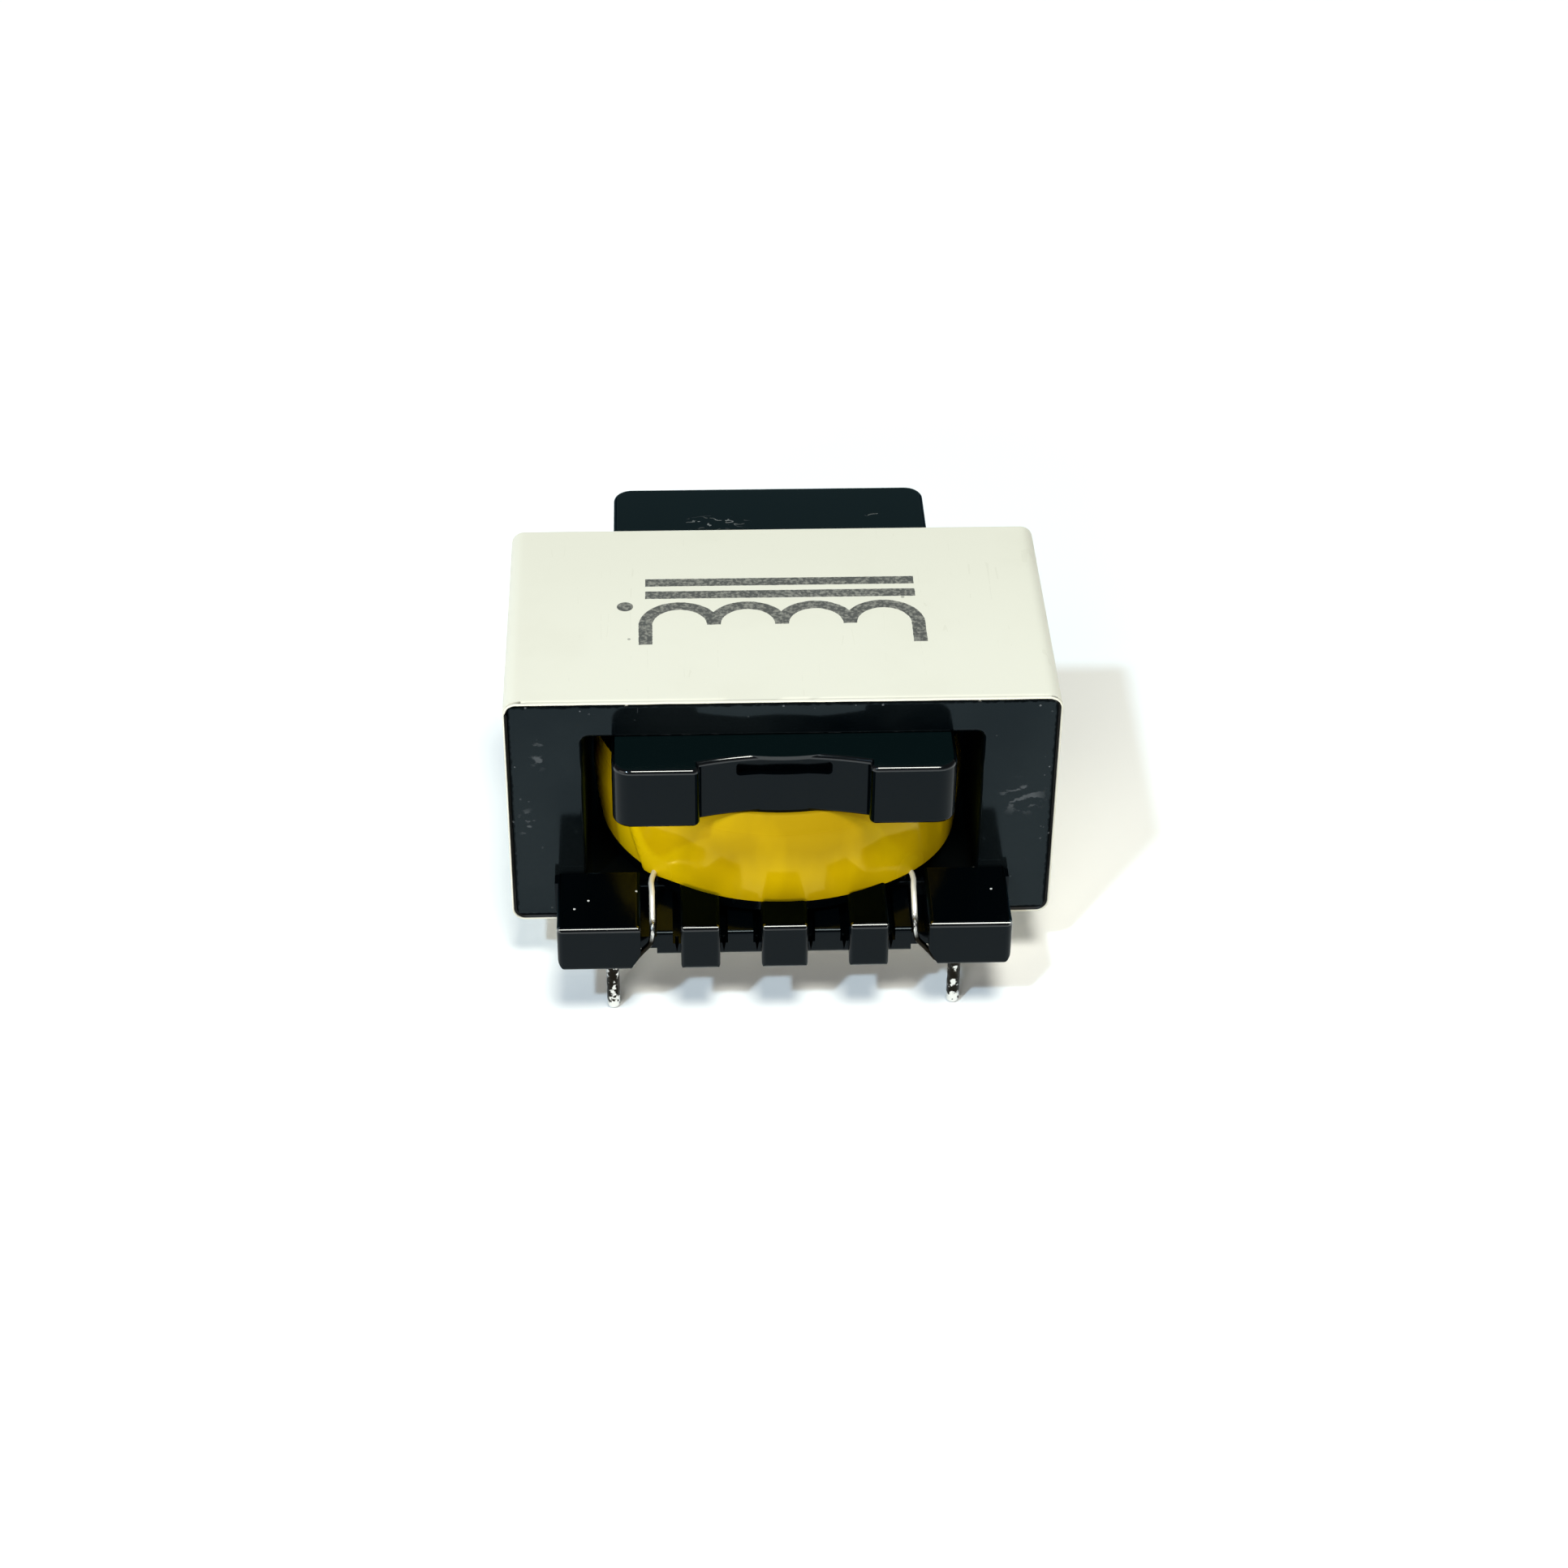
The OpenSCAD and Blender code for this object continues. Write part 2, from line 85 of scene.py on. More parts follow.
# Floor
FLOOR_RADIUS = 6.0
FLOOR_SIDES = 96
FLOOR_ROUGHNESS = 0.9
FLOOR_GLOSS = 0.05

# Lamps: azimuth from the front, elevation and distance
KEY_PLACE = (math.radians(-36.0), math.radians(52.0), 1.2)
FILL_PLACE = (math.radians(14.0), math.radians(70.0), 1.2)
SIDE_PLACE = (math.radians(-58.0), math.radians(30.0), 1.2)
LOW_PLACE = (math.radians(-17.0), math.radians(17.0), 1.2)

# Room: heights over which it dims, its bright side, and the wall behind the part
WHITE = (1.0, 1.0, 1.0)
HORIZON_FADE = (0.06, 0.3)
BRIGHT_SIDE = Vector((-0.7, -0.7, 0.0))
BRIGHT_FADE = (-0.3, 0.8)
BACK_SIDE = (0.4, 0.7)
BACK_FADE = (0.4, 0.75)

# Shape of the band: cuts near its front and rear edges, and how far its skin sinks there
BAND_CORNER = 0.6 * MM
BAND_CORNER_STEPS = 10
BAND_END_FACING = 0.5
BAND_WALL = 0.1 * MM
BAND_SHARP = math.radians(50.0)
BAND_STEP = 0.4 * MM
BAND_CREASE_AT = 0.10 * MM
BAND_CREASE_END = 0.13 * MM
BAND_CUTS = (0.012 * MM, 0.035 * MM, 0.07 * MM, BAND_CREASE_AT, BAND_CREASE_END, 0.35 * MM)
BAND_SINKS = ((0.0, 0.06 * MM), (0.012 * MM, 0.022 * MM), (0.035 * MM, 0.004 * MM))
BAND_WAVE = 0.02 * MM
BAND_WAVE_SCALE = 900.0

# Slits at the band's front corners, in millimetres: ends in x, distances from the front, half widths
BAND_SLITS = (
    ((-11.93, -11.06), (0.13, 0.23), (0.075, 0.035)),
    ((11.44, 11.70), (0.11, 0.11), (0.045, 0.045)),
)
BAND_SLIT_TAPER = 3
BAND_SLIT_LOW = 13.7 * MM

# Burrs along the band's front edge: place in x, in millimetres, and size
BAND_BURRS = ((-6.67, 1.0), (8.35, 0.9), (-0.9, 0.5), (3.6, 0.45))
BAND_BURR_RADIUS = Vector((0.11, 0.035, 0.06)) * MM
BAND_BURR_Z = 14.07 * MM
BAND_BURR_FINENESS = 2

# Shape of the film: radius and level of its crown, and the radii of its outline below and above it
TAPE_SIDES = 384
TAPE_RINGS = 96
TAPE_WALL = 0.15 * MM
TAPE_SHARP = math.radians(60.0)
TAPE_CROWN = 8.4 * MM
TAPE_CROWN_Z = 7.4 * MM
TAPE_BELOW = 13.75 * MM
TAPE_ABOVE = 3.25 * MM

# Turned-in top edge of the film: its share of the rings, its reach inwards and its lift off the coil
TAPE_FOLD = 0.06
TAPE_TUCK = 0.45 * MM
TAPE_LIFT = 0.02 * MM

# Ridge of the film over the left lead: ends, widths, and shares of height and width at its top
RIDGE_TOP = Vector((-6.64, -7.12, 7.3)) * MM
RIDGE_FOOT = Vector((-5.95, -7.7, 4.95)) * MM
RIDGE_STEEP = 0.16 * MM
RIDGE_SLOPE = 1.1 * MM
RIDGE_TOP_HEIGHT = 0.35
RIDGE_TOP_WIDTH = 0.5

# Short fold of the film on the right
STREAK_TOP = Vector((6.87, -6.81, 8.2)) * MM
STREAK_FOOT = Vector((6.92, -6.6, 5.6)) * MM
STREAK_WIDTH = 0.16 * MM
STREAK_SHARE = 0.25

# Loose film on the right: place round the coil, fading upwards, and the lift of its lower edge
SWELL_ANGLE = math.radians(49.0)
SWELL_SPREAD = math.radians(24.0)
SWELL_FADE = 3.6 * MM
SWELL_CURVE = 1.5
EDGE_LIFT = 0.3 * MM
WRINKLE_SCALE = 420.0

# Shape of the pins: rounded tip, and levels where the dip of tin thins out and the shank starts
PIN_SIDES = 40
PIN_RINGS = 48
PIN_SHARP = math.radians(60.0)
PIN_TIP = 0.2 * MM
PIN_TIP_STEPS = 6
PIN_SHANK = 0.03 * MM
PIN_SHANK_Z = 2.4 * MM
PIN_DIP_Z = 2.15 * MM
PIN_LUMP_SCALE = 3200.0

# Masks: a cloud is given as scale, detail and any stretch, and specks as scale, size and amount
NOISE_MIDDLE = 0.5
PATCH_FADE = (0.3, 1.0)

# Hair scratches, each given as turn, stretch, scale, width and amount
SCRATCH_DETAIL = 1.0
SCRATCH_BREAKS = 0.9
SCRATCH_BREAK_DETAIL = 2.0

# Ferrite edges: a ragged strip of painted shade where the band meets the faces, and chips near it
RIM_CLOUD = (4200.0, 3.0)
RIM_RAGGED = 0.2 * MM
RIM_FADE = (0.24 * MM, 0.34 * MM)
CHIP_ZONE = (0.3 * MM, 0.6 * MM)
CHIP_SPECKS = (5200.0, 0.4, 0.05)

# Worn lip of the core over the front lobe, broken into dashes
LIP_WIDTH = 0.05 * MM
LIP_REACH = 6.8 * MM
LIP_CLOUD = (5200.0, 3.0, (0.35, 1.0, 1.0))
LIP_FADE = (0.53, 0.58)

# Scuffs on the front of the core, in millimetres: centre and reach
CORE_SCUFFS = (
    ((-10.45, -8.15, 11.5), (0.55, 0.3, 0.95)),
    ((-11.1, -8.15, 7.8), (0.5, 0.3, 1.0)),
    ((10.4, -8.15, 8.9), (1.3, 0.3, 1.2)),
)
SCUFF_CLOUD = (2600.0, 4.0, (0.6, 1.0, 1.0))
SCUFF_FADE = (0.55, 0.62)
SCUFF_SHARE = 0.5

# Ferrite faces: grains, hair scratches, clouds of tone, patches of roughness, and pores
GRAIN_SPECKS = (6000.0, 0.3, 0.03)
GRAIN_SHARE = 0.25
CORE_HAIRS = ((0.0, 0.5, 0.0), (1.0, 1.0, 0.06), 1500.0, 0.005, 0.3)
CORE_HAIR_SHARE = 0.22
TONE_CLOUD = (140.0, 4.0)
TONE_FADE = (0.35, 0.65)
FERRITE_CLOUD = (350.0, 4.0)
FERRITE_SPREAD = 0.06
FERRITE_DULL = 0.5
FIRED_DEPTH = 0.03 * MM
PORE_CLOUD = (9000.0, 2.0)
PORE_BUMP = (0.05, 0.01 * MM)

# Symbol on the band: loops of a coil, two core bars, leads and a start dot
MARK_CENTRE = Vector((0.15, -2.35)) * MM
MARK_LOOPS = 4
MARK_LEAD = 1.5 * MM
MARK_BARS = (2.4 * MM, 3.4 * MM)
MARK_DOT = (-6.9 * MM, 1.5 * MM, 0.36 * MM)
MARK_DEPTH = 0.1 * MM
MARK_CLOUD = (5200.0, 2.0)
MARK_WOBBLE = 0.05 * MM
INK_CLOUD = (7000.0, 2.0)
INK_FADE = (0.3, 0.6)
INK_SHARES = (0.7, 0.95)

# Band edges: depths where the painted shade on the inside shows, the darker front, and a fold line of
# painted shade with its half width
BAND_SKIN = (0.078 * MM, 0.092 * MM)
BAND_FRONT = (0.02 * MM, 0.09 * MM)
BAND_FOLD_SHADE = (0.14 * MM, 0.04 * MM)
FOLD_SHADE_SHARE = 0.3

# Band faces: painted shade darker towards the rear, smudges, hair scratches, dirt, and a weave on
# broader waves
REAR_SHADE_FROM = 2.0 * MM
REAR_SHADE_SHARE = 0.55
SMUDGE_CLOUD = (160.0, 5.0)
SMUDGE_FADE = (0.48, 0.72)
SMUDGE_SHARE = 0.35
SMUDGE_DULL = 0.3
BAND_HAIRS = ((0.0, 0.0, 0.9), (1.0, 0.05, 1.0), 900.0, 0.005, 0.42)
BAND_HAIR_SHARE = 0.5
DIRT_SPECKS = (900.0, 0.11, 0.16)
DIRT_SHARE = 0.5
WEAVE_CLOUD = (2500.0, 3.0)
WEAVE_SHARE = 0.4
WEAVE_WAVES = (300.0, 2.0)
WEAVE_BUMP = (0.12, 0.03 * MM)

# Bobbin edges: level of the rails' tops, how far back the edges shine, and the ribs and ear steps that
# are darkened as painted shade
RAIL_TOP_Z = 5.2 * MM
RAIL_FRONT_Y = -12.1 * MM
LOBE_FRONT_Y = -9.3 * MM
TOP_EDGE = 0.2 * MM
TOP_SKIN = 0.008 * MM
RIBS_REACH = 6.0 * MM
EAR_STEP_SHADE = (Vector((3.68, -10.0, 10.75)) * MM, Vector((0.14, 0.7, 1.4)) * MM)

# Dust on the lobes and, in millimetres, on the front blocks, and rubbed places on the rear lobe
DUST_SPECKS = (700.0, 0.085, 0.16)
DUST_SIZE = Vector((0.085, 0.085, 0.085)) * MM
DUST_SPOTS = ((-6.41, -9.72), (-8.5, -10.34), (-9.1, -10.9), (8.45, -8.32), (9.1, -9.95))
DUST_LEVEL = 0.5
DUST_SHARE = 0.9
LOBE_RUBS = (((-2.6, 9.0, 12.35), (1.9, 0.7, 0.3)), ((4.9, 9.6, 12.35), (0.5, 0.3, 0.3)))
NICK_HAIRS = ((0.0, 0.0, 0.4), (0.5, 1.0, 1.0), 2400.0, 0.03, 0.5)
NICK_SHARE = 0.25

# Bobbin faces: flow marks, dull places, and a fine skin on broader waves
FLOW_CLOUD = (420.0, 4.0, (1.0, 1.0, 2.5))
FLOW_SPREAD = 0.12
MOULD_DULL = 0.5
PALE_DULL = 0.4
MOULD_CLOUD = (5200.0, 2.0)
MOULD_SHARE = 0.5
MOULD_WAVES = (700.0, 2.0)
MOULD_BUMP = (0.06, 0.02 * MM)

# Film colour: shares of painted shade from the middle to each side, up its height under the lobe and in
# a broad patch on the left
TAPE_MIDDLE = (1.5 * MM, 6.5 * MM)
TAPE_LEFT = (0.92, 0.0)
TAPE_RIGHT = (1.0, 0.65)
TAPE_RISE = (6.2 * MM, 8.2 * MM)
TAPE_HEIGHT = (0.62, 1.0)
TAPE_SHADE = (Vector((-3.5, -9.7, 6.9)) * MM, Vector((2.1, 2.6, 2.6)) * MM)
TAPE_SHADE_SHARE = 0.3
LAYER_CLOUD = (380.0, 3.0, (1.0, 1.0, 0.3))
LAYER_FADE = (0.4, 0.65)
LAYER_SHARE = 0.15

# Film gloss: haze, rubbed places beside the leads, the dull shoulder, and ripples
HAZE_CLOUD = (900.0, 3.0)
HAZE_SPREAD = 0.08
LEAD_HAZE = (Vector((5.5, -8.3, 5.4)) * MM, Vector((1.1, 1.3, 1.2)) * MM)
LEAD_DULL = 0.4
TAPE_SHOULDER = (8.4 * MM, 9.0 * MM)
SHOULDER_DULL = 0.5
RIPPLE_CLOUD = (1200.0, 3.0)
RIPPLE_BUMP = (0.05, 0.02 * MM)

# Leads: ragged end of the enamel behind the foremost point, and levels between which a foot darkens
ENAMEL_CLOUD = (2500.0, 2.0)
ENAMEL_RAGGED = 0.5 * MM
ENAMEL_END = (0.9 * MM, 1.8 * MM)
LEAD_FOOT = (3.6 * MM, 4.1 * MM)
WIRE_CLOUD = (3600.0, 3.0)
WIRE_DULL = 0.16
WIRE_SKIN = (6000.0, 2.0)
WIRE_BUMP = (0.15, 0.02 * MM)

# Tin: dull patches, fewer at the tip of a pin than above it
TIN_TIP = (0.35 * MM, 0.8 * MM)
TIN_BIAS = (-0.1, 0.09)
STAIN_CLOUD = (3400.0, 4.0)
STAIN_FADE = (0.46, 0.54)
STAIN_DULL = 0.22
TIN_SKIN = (7000.0, 3.0)
TIN_BUMP = (0.35, 0.03 * MM)

# Solder: frosted patches on an uneven skin
FROST_CLOUD = (3000.0, 3.0)
FROST_FADE = (0.4, 0.7)
FROST_DULL = 0.2
SOLDER_SKIN = (5000.0, 2.0)
SOLDER_BUMP = (0.3, 0.03 * MM)


def tint(name, description, value):
    """A colour that a user may change."""
    return FloatVectorProperty(
        name=name, description=description, default=value, size=3, min=0.0, max=1.0, subtype="COLOR"
    )


def share(name, description, value):
    """A share of one that a user may change."""
    return FloatProperty(
        name=name, description=description, default=value, min=0.0, max=1.0, subtype="FACTOR"
    )


def span(name, description, millimetres):
    """A length that a user may change, given in millimetres."""
    return FloatProperty(
        name=name, description=description, default=millimetres * MM, min=0.0, precision=6,
        unit="LENGTH"
    )


def level(name, description, value):
    """A light level that a user may change, where one is white on the floor."""
    return FloatProperty(name=name, description=description, default=value, min=0.0, soft_max=2.0)


class FerriteFinish(bpy.types.PropertyGroup):
    """Finish of the two core halves."""

    base_colour: tint("Colour", "Colour of the polished ferrite", (0.0004, 0.0012, 0.0018))
    tone_colour: tint("Tone colour", "Colour of paler clouds in the ferrite", (0.004, 0.0055, 0.006))
    worn_colour: tint("Worn colour", "Colour of chips, scuffs and worn edges", (0.16, 0.165, 0.17))
    roughness: share("Roughness", "Roughness of the polished faces", 0.1)
    gloss: share("Gloss", "Specular level of the ferrite", 0.23)
    sheen: tint("Sheen", "Colour of reflections in the ferrite", (0.65, 0.87, 1.0))
    wear: share("Wear", "How strongly chips, scuffs and worn edges show", 0.6)
    # Takes the reflections off the strip of painted shade along the band and off the matt inner faces
    shade_and_matt: share("Soot", "How far unpolished edges and inner faces lose their reflections", 0.85)


class BandFinish(bpy.types.PropertyGroup):
    """Finish of the band round the core."""

    base_colour: tint("Colour", "Colour of the band", (0.755, 0.725, 0.615))
    # Also the colour of the painted shade towards the rear of the band
    soil_and_shade_colour: tint("Soiled colour", "Colour of smudges and the aged rear", (0.685, 0.655, 0.545))
    # Also the colour of the dirt specks and of the painted shade in the fold line
    ink_colour: tint("Ink colour", "Colour of the printed symbol", (0.05, 0.05, 0.048))
    # Painted shade: the band's inside and cut edges are near black, standing for the shadow in the gap
    # at the core
    inner_shade_colour: tint("Cut colour", "Colour of the band's cut edges", (0.002, 0.002, 0.002))
    roughness: share("Roughness", "Roughness of the band", 0.42)
    gloss: share("Gloss", "Specular level of the band", 0.35)
    crease: span("Crease", "Depth of the fold line behind the front edge", 0.035)
    stroke: span("Stroke", "Width of the symbol's lines", 0.6)
    loop: span("Loop", "Radius of one loop of the symbol", 1.5)


class BobbinFinish(bpy.types.PropertyGroup):
    """Finish of the moulded bobbin."""

    base_colour: tint("Colour", "Colour of the moulding", (0.0003, 0.0008, 0.0012))
    # Painted reflection: the lobes' tops are lighter than the rest of the moulding
    top_reflection_colour: tint("Haze colour", "Colour of the lobes' tops", (0.0018, 0.005, 0.0054))
    dust_colour: tint("Dust colour", "Colour of dust specks and nicks", (0.62, 0.62, 0.6))
    roughness: share("Roughness", "Roughness of the moulding", 0.15)
    gloss: share("Gloss", "Specular level of the moulding", 0.15)
    sheen: tint("Sheen", "Colour of reflections in the moulding", (0.72, 0.88, 1.0))
    polish: share("Polish", "How brightly the rounded top edges shine", 1.0)
    shade: share("Shade", "How far the ribs and inner edges lose their reflections", 1.0)


class TapeFinish(bpy.types.PropertyGroup):
    """Finish of the tape round the coil."""

    base_colour: tint("Colour", "Colour of the tape", (0.9, 0.585, 0.001))
    # Colour of the painted shade across the film and of its faint layers
    shade_and_layer_colour: tint("Deep colour", "Colour where layers overlap", (0.345, 0.207, 0.001))
    roughness: share("Roughness", "Roughness of the film", 0.13)
    gloss: share("Gloss", "Specular level of the film", 0.28)
    lustre: share("Lustre", "How far the film reflects in its own colour", 0.07)
    sheen: tint("Sheen", "Colour of the film's outer reflections", (0.9, 1.0, 0.24))
    ridge: span("Ridge", "Height of the ridge over the left lead", 0.22)
    swell: span("Swell", "How far the loose film stands out on the right", 0.5)
    wrinkle: span("Wrinkle", "Height of the film's faint waves", 0.006)


class MetalFinish(bpy.types.PropertyGroup):
    """Finish of the wire, the pins and the solder."""

    copper_colour: tint("Copper colour", "Colour of the enamelled wire", (0.88, 0.84, 0.74))
    tin_colour: tint("Tin colour", "Colour of tinned wire and pins", (0.82, 0.81, 0.77))
    stain_colour: tint("Stain colour", "Colour of dull patches on the tin", (0.012, 0.01, 0.007))
    solder_colour: tint("Solder colour", "Colour of the solder", (0.80, 0.80, 0.80))
    roughness: share("Roughness", "Roughness of bright tin", 0.16)
    lustre: share("Lustre", "How metallic the enamelled wire looks", 0.35)
    lump: span("Lumps", "Height of the uneven dip of tin on the pins", 0.035)


class StageLook(bpy.types.PropertyGroup):
    """Floor, lamps and surroundings."""

    floor_colour: tint("Floor colour", "Colour of the floor", (0.96, 0.96, 0.95))
    key_colour: tint("Key colour", "Colour of the front lamp", (0.62, 0.82, 1.0))
    key_level: level("Key level", "White that the front lamp gives the floor", 0.38)
    key_size: span("Key size", "Width of the front lamp", 80.0)
    fill_colour: tint("Fill colour", "Colour of the overhead lamp", (1.0, 0.99, 0.89))
    fill_level: level("Fill level", "White that the overhead lamp gives the floor", 0.68)
    fill_size: span("Fill size", "Width of the overhead lamp", 380.0)
    side_colour: tint("Side colour", "Colour of the low side lamp", (1.0, 0.98, 0.94))
    side_level: level("Side level", "White that the low side lamp gives the floor", 0.06)
    side_size: span("Side size", "Width of the low side lamp", 700.0)
    low_colour: tint("Low colour", "Colour of the low front lamp", (1.0, 0.98, 0.94))
    low_level: level("Low level", "White that the low front lamp gives the floor", 0.1)
    low_size: span("Low size", "Width of the low front lamp", 400.0)
    bright_level: level("Bright level", "Brightness of the surroundings low on the bright side", 1.3)
    horizon_level: level("Horizon level", "Brightness of the surroundings low on the other side", 0.7)
    back_colour: tint("Back colour", "Colour of the wall behind the part", (0.6, 0.9, 1.0))
    back_level: level("Back level", "Brightness of the wall behind the part", 0.4)
    zenith_level: level("Zenith level", "Brightness of the surroundings overhead", 0.1)


class InductorLook(bpy.types.PropertyGroup):
    """All finishes of the part and its stage."""

    ferrite: PointerProperty(type=FerriteFinish)
    band: PointerProperty(type=BandFinish)
    bobbin: PointerProperty(type=BobbinFinish)
    tape: PointerProperty(type=TapeFinish)
    metal: PointerProperty(type=MetalFinish)
    stage: PointerProperty(type=StageLook)


class Graph:
    """Adds nodes to one node tree and joins them."""

    # Sockets of a Mix node that is set to colours
    MIX_SHARE = 0
    MIX_FIRST = 6
    MIX_SECOND = 7
    MIX_COLOUR = 2

    def __init__(self, tree):
        self.tree = tree

    def feed(self, socket, value):
        """Gives an input a plain value, or the output of another node."""
        if isinstance(value, bpy.types.NodeSocket):
            self.tree.links.new(value, socket)
        elif socket.type == "RGBA":
            socket.default_value = (*value, 1.0)
        else:
            socket.default_value = value

    def node(self, kind, inputs=None, **settings):
        """A new node with its settings and inputs."""
        made = self.tree.nodes.new(kind)
        for name, value in settings.items():
            setattr(made, name, value)
        for name, value in (inputs or {}).items():
            self.feed(made.inputs[name], value)
        return made

    def place(self):
        """Object coordinates of the surface."""
        return self.node("ShaderNodeTexCoord").outputs["Object"]

    def operate(self, kind, operation, values):
        """Outputs of a new node that works on its inputs in order."""
        made = self.node(kind, operation=operation)
        for socket, value in zip(made.inputs, values):
            self.feed(socket, value)
        return made.outputs

    def calc(self, operation, *values):
        """Output of a Math node."""
        return self.operate("ShaderNodeMath", operation, values)["Value"]

    def vector(self, operation, *values, output="Vector"):
        """Output of a Vector Math node."""
        return self.operate("ShaderNodeVectorMath", operation, values)[output]

    def length(self, vector):
        """Length of a vector."""
        return self.vector("LENGTH", vector, output="Value")

    def split(self, vector):
        """The three parts of a vector."""
        return self.node("ShaderNodeSeparateXYZ", {"Vector": vector}).outputs

    def fade(self, value, start, end, low=0.0, high=1.0):
        """A smooth step from low at start to high at end."""
        inputs = {"Value": value, "From Min": start, "From Max": end, "To Min": low, "To Max": high}
        made = self.node("ShaderNodeMapRange", inputs, interpolation_type="SMOOTHSTEP")
        return made.outputs["Result"]

    def mix(self, amount, first, second):
        """A colour between two others."""
        made = self.node("ShaderNodeMix", data_type="RGBA")
        self.feed(made.inputs[self.MIX_SHARE], amount)
        self.feed(made.inputs[self.MIX_FIRST], first)
        self.feed(made.inputs[self.MIX_SECOND], second)
        return made.outputs[self.MIX_COLOUR]

    def cloud(self, vector, scale, detail, stretch=None):
        """Soft noise from zero to one."""
        place = self.vector("MULTIPLY", vector, stretch) if stretch else vector
        inputs = {"Vector": place, "Scale": scale, "Detail": detail}
        return self.node("ShaderNodeTexNoise", inputs).outputs["Fac"]

    def vary(self, cloud, middle, spread):
        """A value that a cloud takes up and down from its middle."""
        return self.calc("MULTIPLY_ADD", cloud, spread, middle - spread / 2)

    def effect(self, group, **inputs):
        """Mask that a shared effect puts out."""
        return self.node("ShaderNodeGroup", inputs, node_tree=group).outputs["Mask"]

    def bump(self, height, strength, distance):
        """A normal that follows a height."""
        inputs = {"Height": height, "Strength": strength, "Distance": distance}
        return self.node("ShaderNodeBump", inputs).outputs["Normal"]


def new_group(name, vectors, values):
    """An empty effect with named inputs and a mask as its output."""
    group = bpy.data.node_groups.new(name, "ShaderNodeTree")
    for label in vectors:
        group.interface.new_socket(label, in_out="INPUT", socket_type="NodeSocketVector")
    for label in values:
        group.interface.new_socket(label, in_out="INPUT", socket_type="NodeSocketFloat")
    group.interface.new_socket("Mask", in_out="OUTPUT", socket_type="NodeSocketFloat")
    graph = Graph(group)
    given = graph.node("NodeGroupInput").outputs
    made = graph.node("NodeGroupOutput").inputs["Mask"]
    return group, graph, given, made


def shared_effect(name, build):
    """The effect of that name, built the first time it is asked for."""
    known = bpy.data.node_groups.get(name)
    return known or build(name)


def build_specks(name):
    """Scattered round specks of mixed size."""
    group, graph, given, made = new_group(name, ("Vector",), ("Scale", "Size", "Amount"))
    cells = graph.node("ShaderNodeTexVoronoi", {"Vector": given["Vector"], "Scale": given["Scale"]})
    drawn = graph.split(cells.outputs["Color"])
    chosen = graph.calc("LESS_THAN", drawn["X"], given["Amount"])
    reach = graph.calc("MULTIPLY", drawn["Y"], given["Size"])
    near = graph.calc("LESS_THAN", cells.outputs["Distance"], reach)
    graph.feed(made, graph.calc("MULTIPLY", chosen, near))
    return group


def build_scratches(name):
    """Broken hair lines that run one way."""
    vectors = ("Vector", "Turn", "Stretch")
    group, graph, given, made = new_group(name, vectors, ("Scale", "Width", "Amount"))
    inputs = {"Vector": given["Vector"], "Rotation": given["Turn"], "Scale": given["Stretch"]}
    turned = graph.node("ShaderNodeMapping", inputs).outputs["Vector"]
    wave = graph.cloud(turned, given["Scale"], SCRATCH_DETAIL)
    offset = graph.calc("ABSOLUTE", graph.calc("SUBTRACT", wave, NOISE_MIDDLE))
    line = graph.calc("LESS_THAN", offset, given["Width"])
    break_scale = graph.calc("MULTIPLY", given["Scale"], SCRATCH_BREAKS)
    breaks = graph.cloud(given["Vector"], break_scale, SCRATCH_BREAK_DETAIL)
    kept = graph.calc("LESS_THAN", breaks, given["Amount"])
    graph.feed(made, graph.calc("MULTIPLY", line, kept))
    return group


def build_edge_distance(name):
    """Distance to the nearest edge of a box, for a point on its skin."""
    group, graph, given, made = new_group(name, ("Vector", "Low", "High"), ())
    below = graph.vector("SUBTRACT", given["Vector"], given["Low"])
    above = graph.vector("SUBTRACT", given["High"], given["Vector"])
    depth = graph.split(graph.vector("MINIMUM", below, above))
    lesser = graph.calc("MINIMUM", depth["X"], depth["Y"])
    greater = graph.calc("MAXIMUM", depth["X"], depth["Y"])
    graph.feed(made, graph.calc("MAXIMUM", lesser, graph.calc("MINIMUM", greater, depth["Z"])))
    return group


def build_patch(name):
    """A soft patch round a point."""
    group, graph, given, made = new_group(name, ("Vector", "Centre", "Reach"), ())
    offset = graph.vector("SUBTRACT", given["Vector"], given["Centre"])
    away = graph.length(graph.vector("DIVIDE", offset, given["Reach"]))
    graph.feed(made, graph.fade(away, *PATCH_FADE, 1.0, 0.0))
    return group


def specks(graph, vector, scale, size, amount):
    """Mask of scattered specks."""
    group = shared_effect("Specks", build_specks)
    return graph.effect(group, Vector=vector, Scale=scale, Size=size, Amount=amount)


def scratches(graph, vector, turn, stretch, scale, width, amount):
    """Mask of hair scratches."""
    group = shared_effect("Hair scratches", build_scratches)
    return graph.effect(
        group, Vector=vector, Turn=turn, Stretch=stretch, Scale=scale, Width=width, Amount=amount
    )


def edge_distance(graph, vector, low, high):
    """Distance to a box's edges."""
    group = shared_effect("Edge distance", build_edge_distance)
    return graph.effect(group, Vector=vector, Low=low, High=high)


def patch(graph, vector, centre, reach):
    """Mask of a soft patch."""
    group = shared_effect("Soft patch", build_patch)
    return graph.effect(group, Vector=vector, Centre=centre, Reach=reach)


def inside(graph, value, centre, half):
    """Mask of the values near a centre."""
    offset = graph.calc("ABSOLUTE", graph.calc("SUBTRACT", value, centre))
    return graph.calc("LESS_THAN", offset, half)


def new_material(name):
    """A material with its graph and shader."""
    material = bpy.data.materials.new(name)
    material.use_nodes = True
    graph = Graph(material.node_tree)
    return material, graph, material.node_tree.nodes["Principled BSDF"].inputs


